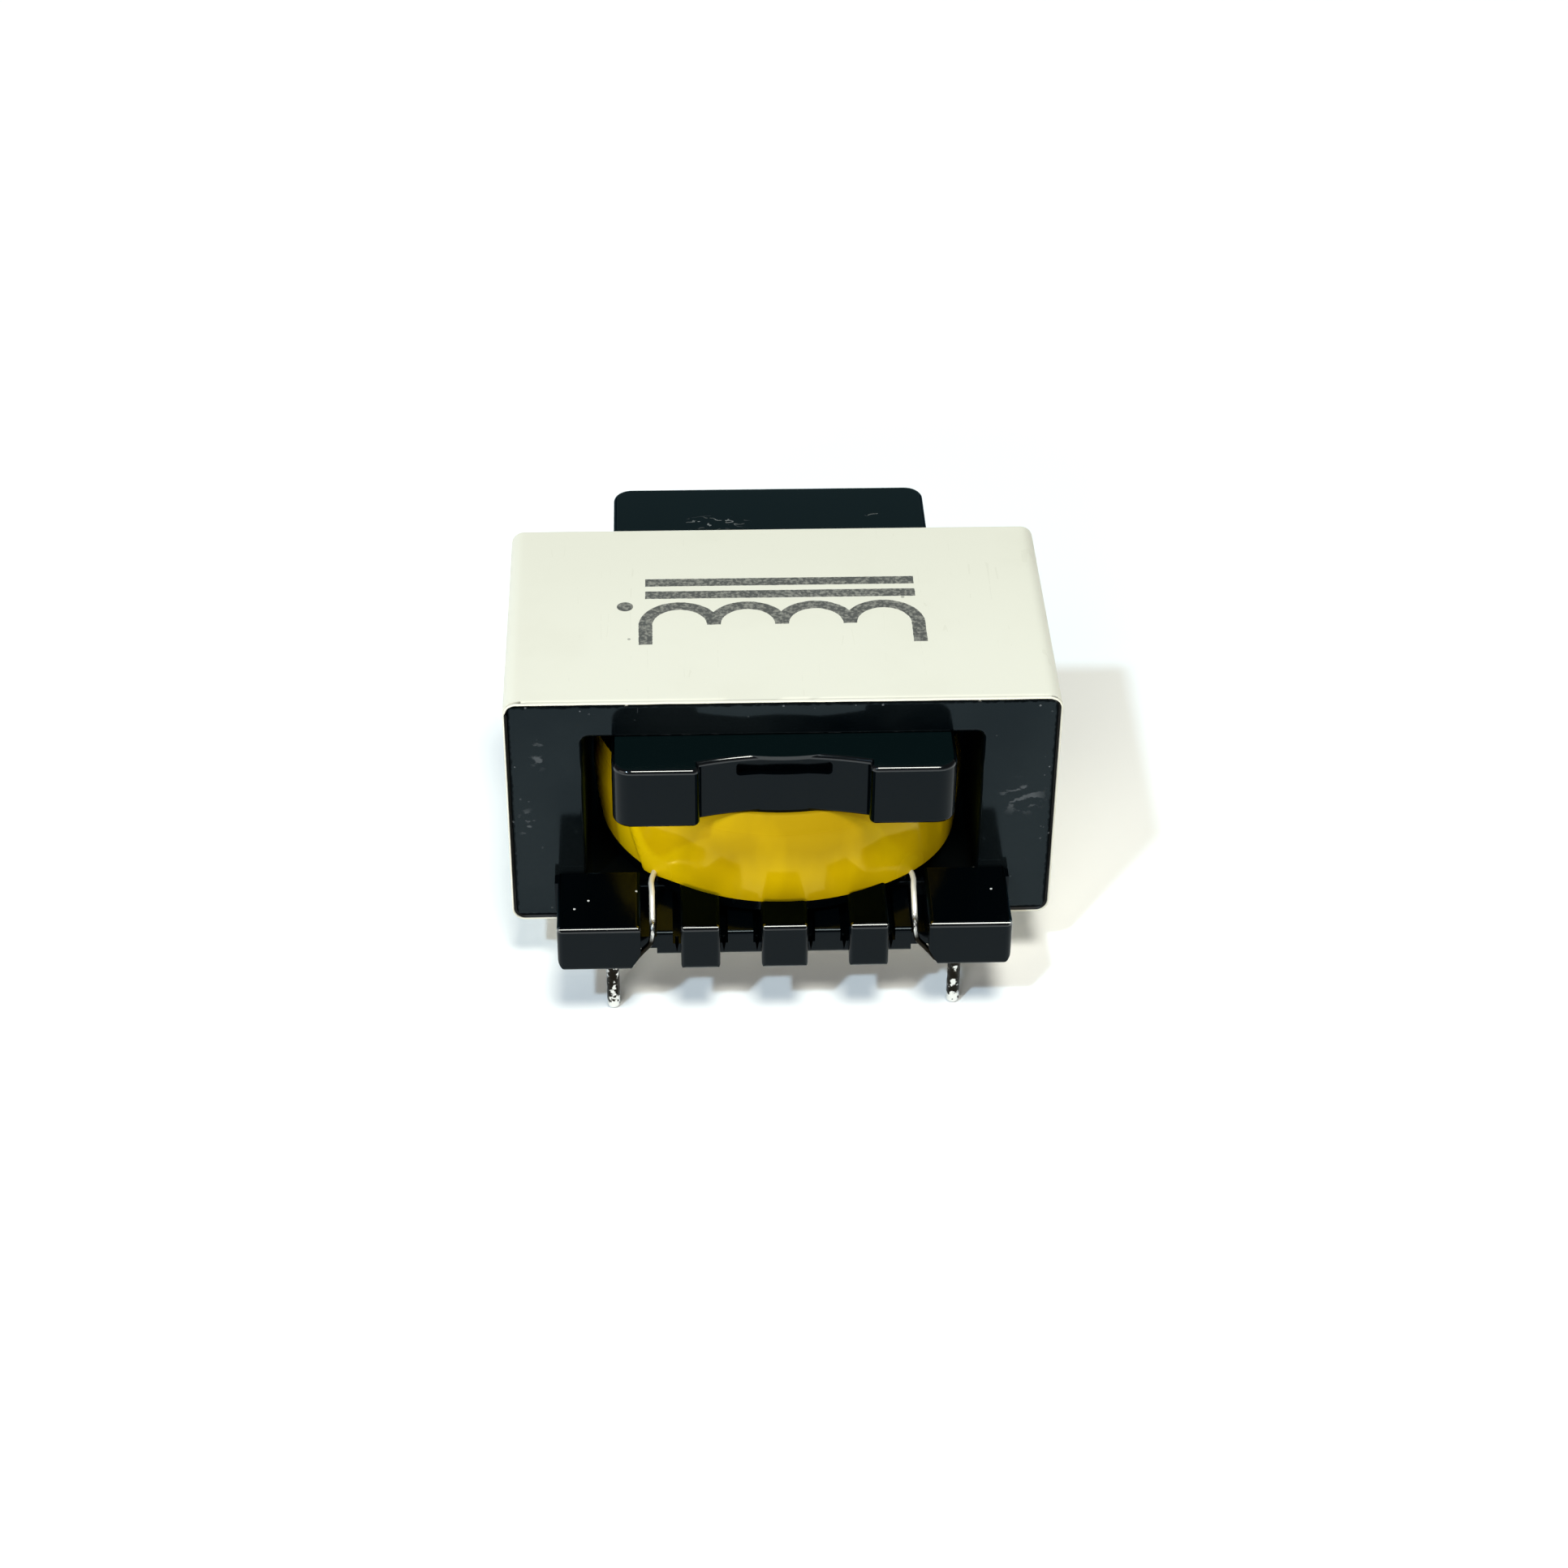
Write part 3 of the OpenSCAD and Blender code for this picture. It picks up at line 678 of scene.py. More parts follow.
def ferrite_material(finish):
    """Polished dark ferrite with chipped edges, scuffs, hair scratches, dull inner faces and painted
    shade in the gap along the band.
    """
    material, graph, shader = new_material("Sintered ferrite")
    place = graph.place()
    part = graph.split(place)
    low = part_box("core_half_lower")[0]
    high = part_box("core_half_upper")[1]
    edge = edge_distance(graph, place, low, high)
    # Painted shade: a ragged strip along the core's outer edges loses its reflections, standing for the
    # shadow in the gap at the band
    ragged = graph.calc("MULTIPLY_ADD", graph.cloud(place, *RIM_CLOUD), RIM_RAGGED, edge)
    rim_shade = graph.fade(ragged, *RIM_FADE, 1.0, 0.0)
    near_edge = graph.fade(edge, *CHIP_ZONE, 1.0, 0.0)
    chips = graph.calc("MULTIPLY", specks(graph, place, *CHIP_SPECKS), near_edge)
    lip = inside(graph, part["Z"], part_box("bobbin")[1].z + LIP_WIDTH, LIP_WIDTH)
    lip = graph.calc("MULTIPLY", lip, inside(graph, part["X"], 0.0, LIP_REACH))
    dashes = graph.fade(graph.cloud(place, *LIP_CLOUD), *LIP_FADE)
    chips = graph.calc("MULTIPLY_ADD", lip, dashes, chips)
    worn = graph.calc("MULTIPLY", scratches(graph, place, *CORE_HAIRS), CORE_HAIR_SHARE)
    streaks = graph.fade(graph.cloud(place, *SCUFF_CLOUD), *SCUFF_FADE)
    for centre, reach in CORE_SCUFFS:
        scuff = patch(graph, place, Vector(centre) * MM, Vector(reach) * MM)
        worn = graph.calc("MULTIPLY_ADD", graph.calc("MULTIPLY", scuff, streaks), SCUFF_SHARE, worn)
    worn = graph.calc("MULTIPLY_ADD", specks(graph, place, *GRAIN_SPECKS), GRAIN_SHARE, worn)
    worn = graph.calc("MAXIMUM", worn, chips)
    worn = graph.calc("MULTIPLY", graph.calc("MINIMUM", worn, 1.0), finish.wear)
    pale = graph.fade(graph.cloud(place, *TONE_CLOUD), *TONE_FADE)
    tone = graph.mix(pale, finish.base_colour, finish.tone_colour)
    graph.feed(shader["Base Color"], graph.mix(worn, tone, finish.worn_colour))
    fired = inside(graph, part["Y"], (low.y + high.y) / 2, (high.y - low.y) / 2 - FIRED_DEPTH)
    rim_shade_and_matt = graph.calc("MAXIMUM", rim_shade, fired)
    dull = graph.calc("MAXIMUM", worn, rim_shade_and_matt)
    patches = graph.vary(graph.cloud(place, *FERRITE_CLOUD), finish.roughness, FERRITE_SPREAD)
    graph.feed(shader["Roughness"], graph.calc("MULTIPLY_ADD", dull, FERRITE_DULL, patches))
    graph.feed(shader["Metallic"], graph.calc("MULTIPLY", rim_shade_and_matt, finish.shade_and_matt))
    graph.feed(shader["Specular IOR Level"], finish.gloss)
    graph.feed(shader["Specular Tint"], finish.sheen)
    graph.feed(shader["Normal"], graph.bump(graph.cloud(place, *PORE_CLOUD), *PORE_BUMP))
    return material


def mark_mask(graph, place, finish, top):
    """Mask of the coil symbol printed on the top of the band."""
    stray = graph.calc("SUBTRACT", graph.cloud(place, *MARK_CLOUD), NOISE_MIDDLE)
    offset = graph.calc("MULTIPLY", stray, MARK_WOBBLE)
    part = graph.split(place)
    along = graph.calc("ADD", graph.calc("SUBTRACT", part["X"], MARK_CENTRE.x), offset)
    across = graph.calc("ADD", graph.calc("SUBTRACT", part["Y"], MARK_CENTRE.y), offset)
    half = finish.stroke / 2
    reach = MARK_LOOPS * finish.loop
    aside = graph.calc("ABSOLUTE", along)
    cell = graph.calc("FLOOR", graph.calc("DIVIDE", aside, 2 * finish.loop))
    cell = graph.calc("MINIMUM", cell, MARK_LOOPS / 2 - 1)
    hub = graph.calc("MULTIPLY_ADD", cell, 2 * finish.loop, finish.loop)
    around = graph.calc("SUBTRACT", aside, hub)
    square = graph.calc("MULTIPLY_ADD", around, around, graph.calc("MULTIPLY", across, across))
    ring = inside(graph, graph.calc("SQRT", square), finish.loop, half)
    ring = graph.calc("MULTIPLY", ring, graph.calc("GREATER_THAN", across, 0.0))
    ink = graph.calc("MULTIPLY", ring, inside(graph, along, 0.0, reach + half))
    for bar in MARK_BARS:
        line = inside(graph, across, bar, half)
        line = graph.calc("MULTIPLY", line, inside(graph, along, 0.0, reach))
        ink = graph.calc("MAXIMUM", ink, line)
    ends = inside(graph, aside, reach, half)
    drop = inside(graph, across, -MARK_LEAD / 2, MARK_LEAD / 2 + TINY)
    ink = graph.calc("MAXIMUM", ink, graph.calc("MULTIPLY", ends, drop))
    dot_x, dot_y, dot_r = MARK_DOT
    dot = graph.vector("SUBTRACT", place, (MARK_CENTRE.x + dot_x, MARK_CENTRE.y + dot_y, top))
    ink = graph.calc("MAXIMUM", ink, graph.calc("LESS_THAN", graph.length(dot), dot_r))
    return graph.calc("MULTIPLY", ink, graph.calc("GREATER_THAN", part["Z"], top - MARK_DEPTH))


def inner_shade(graph, place, low, high):
    """Mask of the painted shade on the band's inside and cut edge, below its skin."""
    corner = Vector((BAND_CORNER, 0.0, BAND_CORNER))
    offset = graph.vector("ABSOLUTE", graph.vector("SUBTRACT", place, (low + high) / 2))
    beyond = graph.vector("SUBTRACT", offset, (high - low) / 2 - corner)
    beyond = graph.vector("MAXIMUM", beyond, (0.0, 0.0, 0.0))
    away = graph.length(graph.vector("MULTIPLY", beyond, (1.0, 0.0, 1.0)))
    return graph.fade(graph.calc("SUBTRACT", BAND_CORNER, away), *BAND_SKIN)


def band_material(finish):
    """Off-white satin tape with smudges, specks, a darker front edge and a printed symbol, and painted
    shade towards the rear, in the fold line and on its inside and cut edges.
    """
    material, graph, shader = new_material("Off-white band")
    place = graph.place()
    low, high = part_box("core_band")
    depth = graph.split(place)["Y"]
    # Painted shade: the band turns darker towards its rear
    shaded = graph.fade(depth, low.y + REAR_SHADE_FROM, high.y, 0.0, REAR_SHADE_SHARE)
    smudge = graph.fade(graph.cloud(place, *SMUDGE_CLOUD), *SMUDGE_FADE, 0.0, SMUDGE_SHARE)
    hairs = scratches(graph, place, *BAND_HAIRS)
    front = graph.fade(graph.calc("SUBTRACT", depth, low.y), *BAND_FRONT, 1.0, 0.0)
    soil_and_shade = graph.calc("ADD", shaded, smudge)
    soil_and_shade = graph.calc("MULTIPLY_ADD", hairs, BAND_HAIR_SHARE, soil_and_shade)
    soil_and_shade = graph.calc("MINIMUM", graph.calc("ADD", soil_and_shade, front), 1.0)
    smudged_and_shaded = graph.mix(soil_and_shade, finish.base_colour, finish.soil_and_shade_colour)
    # Painted shade: a dark line in the crease behind the front edge
    fold_at, fold_half = BAND_FOLD_SHADE
    fold = inside(graph, depth, low.y + fold_at, fold_half)
    fold = graph.calc("MULTIPLY", fold, FOLD_SHADE_SHARE)
    dirt_and_fold_shade = graph.calc("MULTIPLY_ADD", specks(graph, place, *DIRT_SPECKS), DIRT_SHARE, fold)
    dirty_and_fold_shaded = graph.mix(dirt_and_fold_shade, smudged_and_shaded, finish.ink_colour)
    grain = graph.fade(graph.cloud(place, *INK_CLOUD), *INK_FADE, *INK_SHARES)
    ink = graph.calc("MULTIPLY", mark_mask(graph, place, finish, high.z), grain)
    printed = graph.mix(ink, dirty_and_fold_shaded, finish.ink_colour)
    # Painted shade on the band's inside and cut edge
    cut = inner_shade(graph, place, low, high)
    graph.feed(shader["Base Color"], graph.mix(cut, printed, finish.inner_shade_colour))
    graph.feed(shader["Roughness"], graph.calc("MULTIPLY_ADD", smudge, SMUDGE_DULL, finish.roughness))
    graph.feed(shader["Specular IOR Level"], finish.gloss)
    waves = graph.cloud(place, *WEAVE_WAVES)
    weave = graph.calc("MULTIPLY_ADD", graph.cloud(place, *WEAVE_CLOUD), WEAVE_SHARE, waves)
    graph.feed(shader["Normal"], graph.bump(weave, *WEAVE_BUMP))
    return material


def bobbin_material(finish):
    """Glossy black moulding with shining front edges, dull ribs, dust specks, faint flow marks, painted
    shade on the ribs, inner edges and ear steps, and a painted reflection on the lobes' tops.
    """
    material, graph, shader = new_material("Black moulding")
    place = graph.place()
    part = graph.split(place)
    lobe_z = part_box("bobbin")[1].z
    bright = 0.0
    dull = 0.0
    for z, front_y in ((RAIL_TOP_Z, RAIL_FRONT_Y), (lobe_z, LOBE_FRONT_Y)):
        edge = inside(graph, part["Z"], z - TOP_EDGE / 2, TOP_EDGE / 2 - TOP_SKIN)
        ahead = graph.calc("LESS_THAN", part["Y"], front_y)
        bright = graph.calc("MULTIPLY_ADD", edge, ahead, bright)
        dull = graph.calc("MULTIPLY_ADD", edge, graph.calc("SUBTRACT", 1.0, ahead), dull)
    ribs = inside(graph, part["Z"], RAIL_TOP_Z, TOP_SKIN)
    ribs = graph.calc("MULTIPLY", ribs, inside(graph, part["X"], 0.0, RIBS_REACH))
    dull = graph.calc("MAXIMUM", ribs, dull)
    lobes = inside(graph, part["Z"], lobe_z, TOP_SKIN)
    dust = graph.calc("MULTIPLY", specks(graph, place, *DUST_SPECKS), lobes)
    for x, y in DUST_SPOTS:
        spot = patch(graph, place, Vector((x * MM, y * MM, RAIL_TOP_Z)), DUST_SIZE)
        dust = graph.calc("MAXIMUM", graph.calc("GREATER_THAN", spot, DUST_LEVEL), dust)
    rubs = 0.0
    for centre, reach in LOBE_RUBS:
        rub = patch(graph, place, Vector(centre) * MM, Vector(reach) * MM)
        rubs = graph.calc("MAXIMUM", rub, rubs)
    nicks = graph.calc("MULTIPLY", scratches(graph, place, *NICK_HAIRS), rubs)
    nicks = graph.calc("MULTIPLY", nicks, NICK_SHARE)
    pale = graph.calc("MAXIMUM", graph.calc("MULTIPLY", dust, DUST_SHARE), nicks)
    # Painted reflection: lighter colour on the lobes' tops
    moulding = graph.mix(lobes, finish.base_colour, finish.top_reflection_colour)
    graph.feed(shader["Base Color"], graph.mix(pale, moulding, finish.dust_colour))
    satin = graph.vary(graph.cloud(place, *FLOW_CLOUD), finish.roughness, FLOW_SPREAD)
    satin = graph.calc("MULTIPLY_ADD", dull, MOULD_DULL, satin)
    graph.feed(shader["Roughness"], graph.calc("MULTIPLY_ADD", pale, PALE_DULL, satin))
    # Painted shade: a dark line at the inner step of each ear
    centre, reach = EAR_STEP_SHADE
    step = inside(graph, graph.calc("ABSOLUTE", part["X"]), centre.x, reach.x)
    step = graph.calc("MULTIPLY", step, inside(graph, part["Y"], centre.y, reach.y))
    step = graph.calc("MULTIPLY", step, inside(graph, part["Z"], centre.z, reach.z))
    # Painted shade: the rib tops, inner top edges and ear steps lose their reflections and turn black
    dark = graph.calc("MAXIMUM", dull, step)
    graph.feed(shader["Metallic"], graph.calc("MULTIPLY", dark, finish.shade))
    graph.feed(shader["Coat Weight"], graph.calc("MULTIPLY", bright, finish.polish))
    graph.feed(shader["Specular IOR Level"], finish.gloss)
    graph.feed(shader["Specular Tint"], finish.sheen)
    waves = graph.cloud(place, *MOULD_WAVES)
    skin = graph.calc("MULTIPLY_ADD", graph.cloud(place, *MOULD_CLOUD), MOULD_SHARE, waves)
    graph.feed(shader["Normal"], graph.bump(skin, *MOULD_BUMP))
    return material


def tape_material(finish):
    """Glossy yellow film with faint layers and painted shade, hazy beside the leads and dull at its
    shoulder.
    """
    material, graph, shader = new_material("Yellow film tape")
    place = graph.place()
    part = graph.split(place)
    # Painted shade: darker in the middle and on the right than on the left, and darker higher up under
    # the lobe
    darken = graph.fade(graph.calc("MULTIPLY", part["X"], -1.0), *TAPE_MIDDLE, *TAPE_LEFT)
    darken = graph.calc("MULTIPLY", darken, graph.fade(part["X"], *TAPE_MIDDLE, *TAPE_RIGHT))
    darken = graph.calc("MULTIPLY", darken, graph.fade(part["Z"], *TAPE_RISE, *TAPE_HEIGHT))
    # Painted shade: a broad darker patch on the left
    shade = patch(graph, place, *TAPE_SHADE)
    darken = graph.calc("MULTIPLY_ADD", shade, TAPE_SHADE_SHARE, darken)
    layers = graph.fade(graph.cloud(place, *LAYER_CLOUD), *LAYER_FADE)
    shade_and_layers = graph.calc("MULTIPLY_ADD", layers, LAYER_SHARE, darken)
    shade_and_layers = graph.calc("MINIMUM", shade_and_layers, 1.0)
    graph.feed(shader["Base Color"], graph.mix(shade_and_layers, finish.base_colour, finish.shade_and_layer_colour))
    haze = graph.vary(graph.cloud(place, *HAZE_CLOUD), finish.roughness, HAZE_SPREAD)
    centre, reach = LEAD_HAZE
    for side in (-1.0, 1.0):
        rubbed = patch(graph, place, (side * centre.x, centre.y, centre.z), reach)
        haze = graph.calc("MULTIPLY_ADD", rubbed, LEAD_DULL, haze)
    haze = graph.calc("ADD", haze, graph.fade(part["Z"], *TAPE_SHOULDER, 0.0, SHOULDER_DULL))
    graph.feed(shader["Roughness"], haze)
    graph.feed(shader["Metallic"], finish.lustre)
    graph.feed(shader["Specular IOR Level"], finish.gloss)
    graph.feed(shader["Specular Tint"], finish.sheen)
    graph.feed(shader["Normal"], graph.bump(graph.cloud(place, *RIPPLE_CLOUD), *RIPPLE_BUMP))
    return material


def wire_material(finish):
    """Enamelled wire that turns to bright tin towards the pins and darkens at its foot."""
    material, graph, shader = new_material("Lead wire")
    place = graph.place()
    part = graph.split(place)
    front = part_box("winding")[0].y
    start, end = ENAMEL_END
    ragged = graph.calc("MULTIPLY_ADD", graph.cloud(place, *ENAMEL_CLOUD), ENAMEL_RAGGED, part["Y"])
    bare = graph.fade(ragged, front + start, front + end, 1.0, 0.0)
    wire = graph.mix(bare, finish.copper_colour, finish.tin_colour)
    foot = graph.fade(part["Z"], *LEAD_FOOT, 1.0, 0.0)
    graph.feed(shader["Base Color"], graph.mix(foot, wire, finish.stain_colour))
    graph.feed(shader["Metallic"], graph.fade(bare, 0.0, 1.0, finish.lustre, 1.0))
    dull = graph.calc("MULTIPLY_ADD", graph.cloud(place, *WIRE_CLOUD), WIRE_DULL, finish.roughness)
    graph.feed(shader["Roughness"], dull)
    graph.feed(shader["Normal"], graph.bump(graph.cloud(place, *WIRE_SKIN), *WIRE_BUMP))
    return material


def tin_material(finish):
    """Dipped tin with bright and dull patches."""
    material, graph, shader = new_material("Dipped tin")
    place = graph.place()
    upper = graph.fade(graph.split(place)["Z"], *TIN_TIP, *TIN_BIAS)
    stain = graph.fade(graph.calc("ADD", graph.cloud(place, *STAIN_CLOUD), upper), *STAIN_FADE)
    graph.feed(shader["Base Color"], graph.mix(stain, finish.tin_colour, finish.stain_colour))
    graph.feed(shader["Metallic"], 1.0)
    graph.feed(shader["Roughness"], graph.calc("MULTIPLY_ADD", stain, STAIN_DULL, finish.roughness))
    graph.feed(shader["Normal"], graph.bump(graph.cloud(place, *TIN_SKIN), *TIN_BUMP))
    return material


def solder_material(finish):
    """Bright solder with a frosted skin."""
    material, graph, shader = new_material("Bright solder")
    place = graph.place()
    frost = graph.fade(graph.cloud(place, *FROST_CLOUD), *FROST_FADE)
    graph.feed(shader["Base Color"], graph.mix(frost, finish.solder_colour, finish.tin_colour))
    graph.feed(shader["Metallic"], 1.0)
    graph.feed(shader["Roughness"], graph.calc("MULTIPLY_ADD", frost, FROST_DULL, finish.roughness))
    graph.feed(shader["Normal"], graph.bump(graph.cloud(place, *SOLDER_SKIN), *SOLDER_BUMP))
    return material


def dress(material, *names):
    """Gives CAD nodes a material."""
    for name in names:
        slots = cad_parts[name].material_slots
        if not slots:
            raise RuntimeError(f"{name} has no material slot")
        for slot in slots:
            slot.material = material


def to_object(name, shape, material):
    """Turns a finished bmesh into an object of the scene."""
    mesh = bpy.data.meshes.new(name)
    shape.to_mesh(mesh)
    shape.free()
    mesh.materials.append(material)
    made = bpy.data.objects.new(name, mesh)
    bpy.context.scene.collection.objects.link(made)
    return made


def new_piece(name, shape, material, stands_for, sharp):
    """Adds a smooth piece that rides on the part and stands for a CAD node."""
    piece = to_object(name, shape, material)
    piece.data.shade_smooth()
    piece.data.set_sharp_from_angle(angle=sharp)
    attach(piece, BODY)
    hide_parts(stands_for)


def everything(shape):
    """All geometry of a bmesh."""
    return shape.verts[:] + shape.edges[:] + shape.faces[:]


def slice_at(shape, point, normal):
    """Cuts the faces of a bmesh along a plane."""
    bmesh.ops.bisect_plane(shape, geom=everything(shape), dist=TINY, plane_co=point, plane_no=normal)


def thicken(shape, wall):
    """Gives an open skin a wall on its inner side."""
    bmesh.ops.solidify(shape, geom=shape.faces[:], thickness=wall)


def between(value, start, end):
    """Where a value lies between two others, held to zero and one."""
    return min(max((value - start) / (end - start), 0.0), 1.0)


def partway(first, second, along):
    """The value that lies a share of the way from one to another."""
    return first + (second - first) * along


def rim_sink(distance, crease):
    """How far the band's skin sinks at a distance from its edge."""
    for at, sink in (*BAND_SINKS, (BAND_CREASE_AT, crease)):
        if abs(distance - at) < TINY:
            return sink
    return 0.0


def open_slits(shape, front):
    """Opens the slits at the band's front corners."""
    near = front + BAND_CREASE_AT
    far = front + BAND_CREASE_END
    for (start, end), (at_start, at_end), (wide, narrow) in BAND_SLITS:
        gone = []
        for face in shape.faces:
            middle = face.calc_center_median()
            inside_x = start * MM < middle.x < end * MM
            inside_y = near < middle.y < far
            if inside_x and inside_y and middle.z > BAND_SLIT_LOW:
                gone.append(face)
        lips = {vert for face in gone for vert in face.verts}
        bmesh.ops.delete(shape, geom=gone, context="FACES")
        for vert in lips:
            if not vert.is_valid:
                continue
            along = between(vert.co.x, start * MM, end * MM)
            half = partway(narrow, wide, abs(2.0 * along - 1.0) ** BAND_SLIT_TAPER)
            side = -1.0 if vert.co.y < (near + far) / 2 else 1.0
            vert.co.y = front + (partway(at_start, at_end, along) + side * half) * MM


def band_shape(finish):
    """The band: a thin wall with rounded corners, a creased front edge and two small slits."""
    low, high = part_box("core_band")
    shape = bmesh.new()
    fit = Matrix.Translation((low + high) / 2) @ Matrix.Diagonal((*(high - low), 1.0))
    bmesh.ops.create_cube(shape, size=1.0, matrix=fit)
    ends = [face for face in shape.faces if abs(face.normal.y) > BAND_END_FACING]
    bmesh.ops.delete(shape, geom=ends, context="FACES_ONLY")
    corners = [edge for edge in shape.edges if abs(edge.verts[0].co.y - edge.verts[1].co.y) > TINY]
    bmesh.ops.bevel(
        shape, geom=corners, offset=BAND_CORNER, offset_type="OFFSET", segments=BAND_CORNER_STEPS,
        profile=0.5, affect="EDGES", material=-1
    )
    cut = low.x + BAND_CORNER + BAND_STEP / 2
    while cut < high.x - BAND_CORNER:
        slice_at(shape, (cut, 0.0, 0.0), (1.0, 0.0, 0.0))
        cut += BAND_STEP
    for at in BAND_CUTS:
        slice_at(shape, (0.0, low.y + at, 0.0), (0.0, 1.0, 0.0))
        slice_at(shape, (0.0, high.y - at, 0.0), (0.0, 1.0, 0.0))
    shape.normal_update()
    for vert in shape.verts:
        ahead = rim_sink(vert.co.y - low.y, finish.crease)
        behind = rim_sink(high.y - vert.co.y, 0.0)
        outward = vert.normal.copy()
        outward.y = 0.0
        vert.co -= outward.normalized() * max(ahead, behind)
    open_slits(shape, low.y)
    for vert in shape.verts:
        if vert.co.y < low.y + BAND_STEP:
            flat = Vector((vert.co.x, 0.0, vert.co.z))
            vert.co.y += BAND_WAVE * noise.noise(flat * BAND_WAVE_SCALE)
    thicken(shape, BAND_WALL)
    for x, size in BAND_BURRS:
        place = Matrix.Translation((x * MM, low.y, BAND_BURR_Z))
        place = place @ Matrix.Diagonal((*(BAND_BURR_RADIUS * size), 1.0))
        bmesh.ops.create_icosphere(shape, subdivisions=BAND_BURR_FINENESS, radius=1.0, matrix=place)
    return shape


def line_offset(point, start, end):
    """Share along a line, and the step from that line to a point."""
    run = end - start
    along = between((point - start).dot(run) / run.length_squared, 0.0, 1.0)
    return along, point - (start + run * along)


def bell(distance, width):
    """A bell curve that is one at no distance."""
    return math.exp(-((distance / width) ** 2))


def ridge_rise(point, height):
    """Rise of the film over the left lead, steep on one side and sloping on the other."""
    along, step = line_offset(point, RIDGE_TOP, RIDGE_FOOT)
    slope = RIDGE_SLOPE * partway(RIDGE_TOP_WIDTH, 1.0, along)
    width = RIDGE_STEEP if step.x < 0.0 else slope
    return height * partway(RIDGE_TOP_HEIGHT, 1.0, along) * bell(step.length, width)


def streak_rise(point, height):
    """Rise of the film along the short fold on the right."""
    along, step = line_offset(point, STREAK_TOP, STREAK_FOOT)
    return height * STREAK_SHARE * (1.0 - along * along) * bell(step.length, STREAK_WIDTH)


def swell_amount(point, hub, low_share):
    """Share of the loose film's swell at a point."""
    angle = math.atan2(point.x - hub.x, hub.y - point.y)
    return bell(angle - SWELL_ANGLE, SWELL_SPREAD) * low_share ** SWELL_CURVE


def tape_outline(along, low, high):
    """Radius and level of the film: nearly straight below its crown, round above, folded at the top."""
    z = partway(low, high, between(along, 0.0, 1.0 - TAPE_FOLD))
    bend = TAPE_BELOW if z < TAPE_CROWN_Z else TAPE_ABOVE
    radius = TAPE_CROWN - bend + math.sqrt(bend ** 2 - (z - TAPE_CROWN_Z) ** 2)
    folded = between(along, 1.0 - TAPE_FOLD, 1.0)
    lifted = TAPE_LIFT if folded > 0.0 else 0.0
    return radius - TAPE_TUCK * folded, z + lifted


def tape_shape(finish):
    """The film round the coil: a grid wrapped to a barrel, with a ridge, a fold and a swell."""
    low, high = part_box("winding_tape")
    middle = (low + high) / 2
    coil = (high.x - low.x) / 2
    stretch = (high.y - low.y) / 2 - coil
    hub = Vector((middle.x, middle.y - stretch, TAPE_CROWN_Z))
    shape = bmesh.new()
    bmesh.ops.create_grid(shape, x_segments=TAPE_SIDES, y_segments=TAPE_RINGS, size=1.0)
    for vert in shape.verts:
        turn = math.pi * vert.co.x
        radius, z = tape_outline((vert.co.y + 1.0) / 2, low.z, high.z)
        across = radius * math.sin(turn) * coil / TAPE_CROWN
        ahead = -radius * math.cos(turn)
        if abs(ahead) > TINY:
            ahead += math.copysign(stretch, ahead)
        vert.co = Vector((middle.x + across, middle.y + ahead, z))
    bmesh.ops.remove_doubles(shape, verts=shape.verts[:], dist=TINY)
    bmesh.ops.recalc_face_normals(shape, faces=shape.faces[:])
    shape.normal_update()
    for vert in shape.verts:
        low_share = 1.0 - between(vert.co.z, low.z, low.z + SWELL_FADE)
        swell = swell_amount(vert.co, hub, low_share)
        rise = ridge_rise(vert.co, finish.ridge) + streak_rise(vert.co, finish.ridge)
        rise += finish.swell * swell
        rise += finish.wrinkle * noise.noise(vert.co * WRINKLE_SCALE)
        vert.co += vert.normal * rise
        vert.co.z += EDGE_LIFT * swell * low_share
    thicken(shape, TAPE_WALL)
    return shape


def pin_shape(name, finish):
    """A pin turned from its outline, with an uneven dip of tin."""
    low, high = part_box(name)
    axis = (low + high) / 2
    radius = (high.x - low.x) / 2
    outline = [(0.0, low.z)]
    for step in range(PIN_TIP_STEPS + 1):
        turn = math.pi / 2 * step / PIN_TIP_STEPS
        reach = radius - PIN_TIP + PIN_TIP * math.sin(turn)
        outline.append((reach, low.z + PIN_TIP - PIN_TIP * math.cos(turn)))
    for step in range(1, PIN_RINGS + 1):
        outline.append((radius, low.z + PIN_TIP + (PIN_SHANK_Z - PIN_TIP) * step / PIN_RINGS))
    outline.append((radius - PIN_SHANK, PIN_SHANK_Z))
    outline.append((radius - PIN_SHANK, high.z))
    outline.append((0.0, high.z))
    shape = bmesh.new()
    line = [shape.verts.new((axis.x + reach, axis.y, z)) for reach, z in outline]
    for pair in zip(line, line[1:]):
        shape.edges.new(pair)
    bmesh.ops.spin(
        shape, geom=everything(shape), cent=(axis.x, axis.y, 0.0), axis=(0.0, 0.0, 1.0),
        angle=math.tau, steps=PIN_SIDES, use_merge=True
    )
    bmesh.ops.remove_doubles(shape, verts=shape.verts[:], dist=TINY)
    bmesh.ops.recalc_face_normals(shape, faces=shape.faces[:])
    shape.normal_update()
    for vert in shape.verts:
        below_shank = 1.0 - between(vert.co.z, PIN_DIP_Z, PIN_SHANK_Z)
        free = between(vert.co.z, 0.0, PIN_TIP) * below_shank
        dip = (1.0 + noise.noise(vert.co * PIN_LUMP_SCALE)) / 2
        vert.co -= vert.normal * finish.lump * dip * free
    return shape


